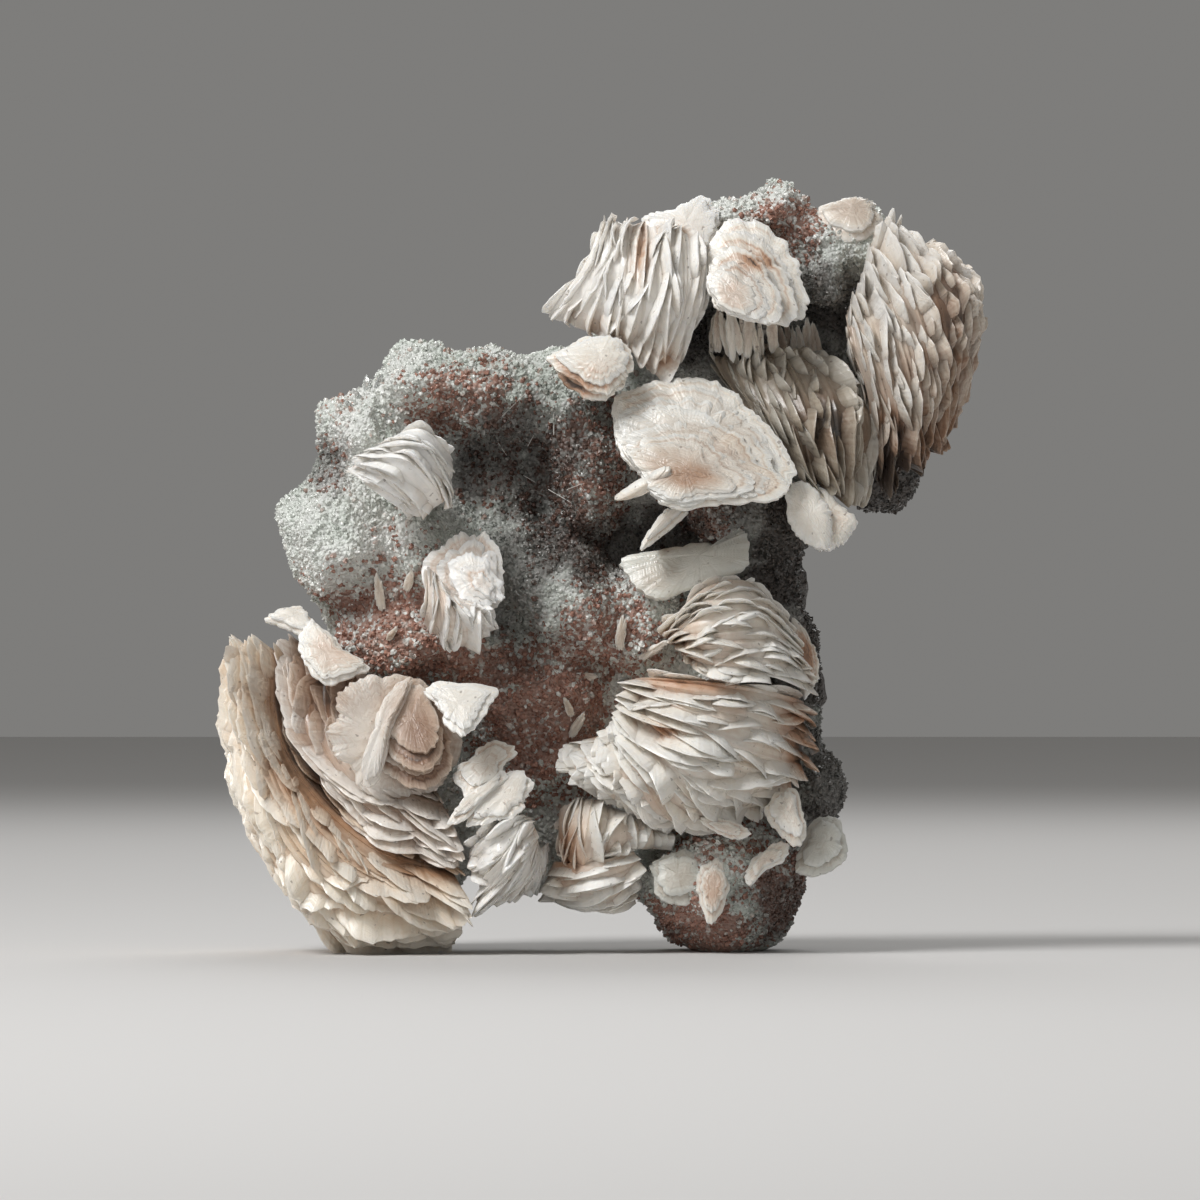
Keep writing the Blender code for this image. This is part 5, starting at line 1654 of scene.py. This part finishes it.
# Crest in the middle of the bottom edge: upright white plates over flat layered ones.
crest_bottom = Baryte(36)
crest_bottom.fan(
    lines=(
        ((-6.3, -6, 21.1), (-6.3, -9, 16.9), (-6.3, -9, 12.5)),
        ((-2.2, -12, 22.5), (-3.2, -16, 16.9), (-3.6, -14, 11.1)),
        ((0.4, -13, 21.6), (0.3, -17, 17.2), (-0.4, -15, 11.9)),
        ((3.8, -13, 20.3), (4.3, -16, 16.9), (4.6, -14, 13.9)),
        ((7.1, -12, 18.6), (7.7, -14, 16.7), (8, -12, 14.1)),
    ),
    roots=((-1.5, 3, 16.2), (2, 3, 16.2)),
    spacing=2.4, length=(7.0, 11.0), lean=2.2, full=0.7,
)
crest_bottom.fan(
    lines=(
        ((-7.8, -9, 12.5), (-1.3, -15, 12.7), (5.7, -15, 14.4)),
        ((-8.8, -8, 9.9), (-1.3, -16, 9.7), (6.6, -14, 12.2)),
        ((-9.2, -5, 8), (-0.1, -13, 6), (6.2, -10, 8.8)),
    ),
    roots=((-0.8, 4, 13.4), (-0.6, 5, 11.1)),
    spacing=1.6, length=(7.0, 13.0), lean=1.8,
)
stains_and_painted_shading = (
    # x, z, half width, half height, strength
    (-5.0, 14.0, 2.5, 5.0, 0.4),
)
crest_bottom.piece("bottom_leaves", white_baryte, "baryte_crest_bottom", stains_and_painted_shading=stains_and_painted_shading)

# White wedge and a small plate between the druse and the cup.
wedge_left = Baryte(37)
wedge_style = dict(bulge=0.3, thickness=1.3, shells=2, step=0.6, lobe=0.3)
wedge_left.plate(
    outline=(
        (-41.9, -13.6, 43.5), (-40.6, -12, 46.5), (-38.5, -12.7, 45.2),
        (-35.7, -14.1, 42.7), (-32.2, -15.6, 40), (-33.5, -16.2, 38.9),
        (-37.5, -17, 37.5), (-39.8, -16.5, 38.5), (-41.3, -15.2, 40.7),
    ),
    **wedge_style,
    root=(-35.1, 2, 42.1),
)
wedge_left.plate(
    outline=(
        (-46.8, -10.3, 46.5), (-44.9, -9.1, 48), (-42.1, -9, 48.2),
        (-40.3, -9.9, 47), (-39.1, -11.8, 44.7), (-41.9, -12, 44.4),
        (-44.2, -11, 45.6),
    ),
    **wedge_style,
    root=(-37.9, 2, 44.2),
)
wedge_left.piece("wedge_plates", white_baryte, "baryte_wedge_left")

# Leaf-shaped crest that stands on the druse.
leaf_on_quartz = Baryte(38)
leaf_on_quartz.fan(
    lines=(
        ((-29.8, -17, 72), (-24.6, -20, 73.1), (-19.5, -16, 68.7)),
        ((-32.1, -19, 70.8), (-25.6, -23, 70.1), (-19.7, -18, 63.7)),
        ((-33.7, -19, 69.9), (-27.4, -23, 67.3), (-21.7, -18, 61.3)),
        ((-34.9, -17, 68.7), (-30.2, -20, 65.1), (-24.8, -15, 60.1)),
    ),
    roots=((-26, -4, 67.6), (-28.1, -4, 65.7)),
    spacing=2.0, length=(9.0, 15.0), lean=2.6, full=0.8, core=0.2,
)
leaf_on_quartz.piece("leaf_crest", painted_light_baryte, "baryte_leaf_on_quartz")

# Flower-shaped crest on the druse: a scalloped plate above, a tuft of fingers below.
flower_on_quartz = Baryte(39)
flower_style = dict(bulge=0.3, thickness=1.6, shells=3, step=1.2, shift=(1.5, 0.0, -1.5),
                    lobe=0.6, gap=0.15)
flower_on_quartz.plate(
    outline=(
        (-24.6, -14.2, 54.5), (-22.5, -13.5, 56.8), (-19.7, -13.1, 58.2),
        (-17.2, -13, 58.5), (-15.3, -13.3, 57.4), (-13.4, -14.3, 54),
        (-13.2, -15.1, 51.2), (-14.1, -15.8, 49), (-17.6, -16, 48.3),
        (-21.4, -15.8, 48.9), (-23.9, -15.4, 50.3),
    ),
    **flower_style,
    root=(-19, 0, 52.6),
)
flower_on_quartz.plate(
    outline=(
        (-21.1, -17.6, 54.3), (-18.6, -17, 55.7), (-15.8, -17.5, 54.5),
        (-13.7, -18.8, 51.4), (-14.1, -19.8, 49), (-17.2, -20, 48.6),
        (-20, -19.3, 50.3),
    ),
    **flower_style,
)
flower_on_quartz.fan(
    lines=(
        ((-24.5, -17, 54.5), (-24.2, -20, 49.1), (-25.2, -15, 45.2)),
        ((-23.2, -20, 53.3), (-21.7, -24, 47.5), (-21.8, -17, 41.9)),
        ((-21.1, -20, 50.5), (-19, -24, 46.9), (-17.8, -17, 41.3)),
        ((-18.3, -19, 49.6), (-16.2, -22, 47.5), (-14.6, -16, 44)),
    ),
    roots=((-20.9, -6, 49.1), (-19, -6, 49.1)),
    spacing=1.6, length=(7.0, 13.0), lean=1.8,
)
flower_on_quartz.piece("flower_crest", painted_light_baryte, "baryte_flower_on_quartz")

# Single plates at the lower right edge and on the right foot, each grown on its own.
plate_edge = Baryte(40)
plate_edge.plate(
    outline=(
        (22.7, -14.5, 20), (24.1, -13.5, 22.1), (25.8, -13, 23.1),
        (27.4, -13.4, 22.3), (28.1, -14.7, 19.7), (28.4, -16.2, 16.7),
        (27.6, -17, 15), (25.6, -16.6, 15.8), (23.7, -15.6, 17.8),
    ),
    bulge=0.8,
    thickness=1.5,
    root=(24.4, 0, 16.9),
)
plate_edge.piece("edge_plate", white_baryte, "baryte_plate_edge")
plate_slope = Baryte(41)
plate_slope.plate(
    outline=(
        (20.6, -14.1, 12.5), (22.3, -13.3, 14.4), (24.4, -13, 15.4),
        (26.2, -13.2, 14.8), (25.1, -13.9, 12.9), (22.5, -14.4, 11.5),
        (20.9, -15, 9.8), (20, -14.6, 11.1),
    ),
    bulge=0.4,
    thickness=1.3,
    root=(23, 0, 13.4),
)
plate_slope.piece("slope_plate", white_baryte, "baryte_plate_slope")
plate_corner = Baryte(42)
plate_corner.plate(
    outline=(
        (34.3, -7.2, 14.8), (33.6, -8.1, 13), (31.4, -8.9, 11.3), (27.9, -9, 11.2),
        (27, -8.2, 12.7), (28.1, -6.8, 15.5), (29.5, -5.6, 18.1), (31.8, -5, 19.2),
        (33.6, -5.6, 18.1),
    ),
    bulge=0.7,
    thickness=1.6,
    root=(27.9, 4, 15.5),
)
plate_corner.piece("corner_plate", pale_baryte, "baryte_plate_corner")
plate_foot = Baryte(43)
plate_foot.plate(
    outline=(
        (13.6, -14.4, 11.6), (15.3, -14, 13.2), (16.9, -14.1, 12.6),
        (17.8, -14.7, 9.9), (17.1, -15.5, 6.4), (15.5, -16, 4.5),
        (14.3, -15.8, 5.5), (13.2, -15.1, 8.5),
    ),
    bulge=0.6,
    thickness=1.4,
    root=(14.6, 0, 9.2),
)
plate_foot.piece("foot_plate", white_baryte, "baryte_plate_foot")
chunk_foot = Baryte(44)
chunk_foot.plate(
    outline=(
        (7.4, -12.3, 13), (10.4, -12, 14.3), (14, -12.3, 13.3), (14.3, -13, 10.6),
        (13.2, -13.7, 8.1), (10.4, -14, 7), (8, -13.6, 8.4), (7, -12.9, 11.1),
    ),
    bulge=0.8,
    thickness=1.6,
    root=(12.5, 0, 9.9),
)
chunk_foot.piece("foot_chunk", pale_baryte, "baryte_chunk_foot")

# Crest on the back, of the same kind as those in front.
crest_back = Baryte(45)
crest_back.fan(
    lines=(
        ((12.5, 23, 91.1), (10.5, 26, 84.1), (12.5, 23, 76.9)),
        ((18.1, 24, 93.2), (16.9, 28, 84.1), (18.3, 24, 75)),
        ((24.4, 24, 93.2), (24.4, 28, 84.1), (24.4, 24, 74.6)),
        ((30.7, 23, 91.8), (32.3, 26, 84.1), (30.4, 22, 75.5)),
    ),
    roots=((20.2, 10, 84.1), (23.7, 10, 84.1)),
    spacing=1.8, length=(8.0, 14.0), lean=2.2,
)
crest_back.piece("back_leaves", grey_shaded_baryte, "baryte_crest_back")

# Slivers: thin blades of baryte that stand singly on the druse, each of them one small crystal,
# and closely packed spindles in the recess between the disc and the middle fan.

# Middle x and z in mm, length, width, turn from upright towards the right
SLIVERS = (
    (-30.9, 50.3, 5.0, 1.4, -0.15),
    (-26.7, 51.9, 3.0, 1.2, 0.3),
    (2.8, 44.7, 4.6, 1.5, 0.1),
    (-1.8, 38.4, 2.8, 1.2, 1.5),
    (7.4, 42.2, 4.6, 1.3, 1.0),
    (-3.2, 31.8, 3.6, 1.3, 0.5),
    (-4.6, 34.2, 2.8, 1.0, -0.4),
    (5.6, 36.6, 3.0, 1.1, 0.8),
    (-29.0, 44.5, 2.2, 0.9, 0.6),
    (21.0, 67.0, 2.6, 1.0, 0.9),
)
# Middle x and z of the first and the last spindle in the recess, and their number
RECESS_FROM = (15.6, 86.6)
RECESS_TO = (30.4, 84.8)
RECESS_COUNT = 19
# Outline of a sliver: shares of its length along it and of its width across it
SLIVER_OUTLINE = ((0.5, 0.0), (0.3, 0.35), (-0.1, 0.5), (-0.5, 0.3), (-0.5, -0.3), (-0.1, -0.5),
                  (0.3, -0.3))
# How far a sliver stands in front of the quartz and leans forward, in mm
SLIVER_OUT = 1.2

slivers = Baryte(60)
rows = list(SLIVERS)
for number in range(RECESS_COUNT):
    share = number / (RECESS_COUNT - 1)
    x, z = (a + (b - a) * share for a, b in zip(RECESS_FROM, RECESS_TO))
    rows.append((x, z + slivers.chance.uniform(-1.0, 1.2), slivers.chance.uniform(5.0, 8.5),
                 slivers.chance.uniform(1.0, 1.7), slivers.chance.uniform(-0.15, 0.15) - 0.1))
for x, z, length, width, turn in rows:
    place = front_of_quartz(x, z)
    y = place.y / MM + LAYOUT_MIDDLE[1]
    outline = []
    for along, side in SLIVER_OUTLINE:
        up = along * length
        out = side * width
        outline.append((x + up * math.sin(turn) + out * math.cos(turn),
                        y - SLIVER_OUT - SLIVER_OUT * along,
                        z + up * math.cos(turn) - out * math.sin(turn)))
    slivers.plate(outline, 0.15, 0.45, root=(x, y + 1.0, z), shells=1, lobe=0.15)
slivers.piece("druse_slivers", peach_white_baryte)
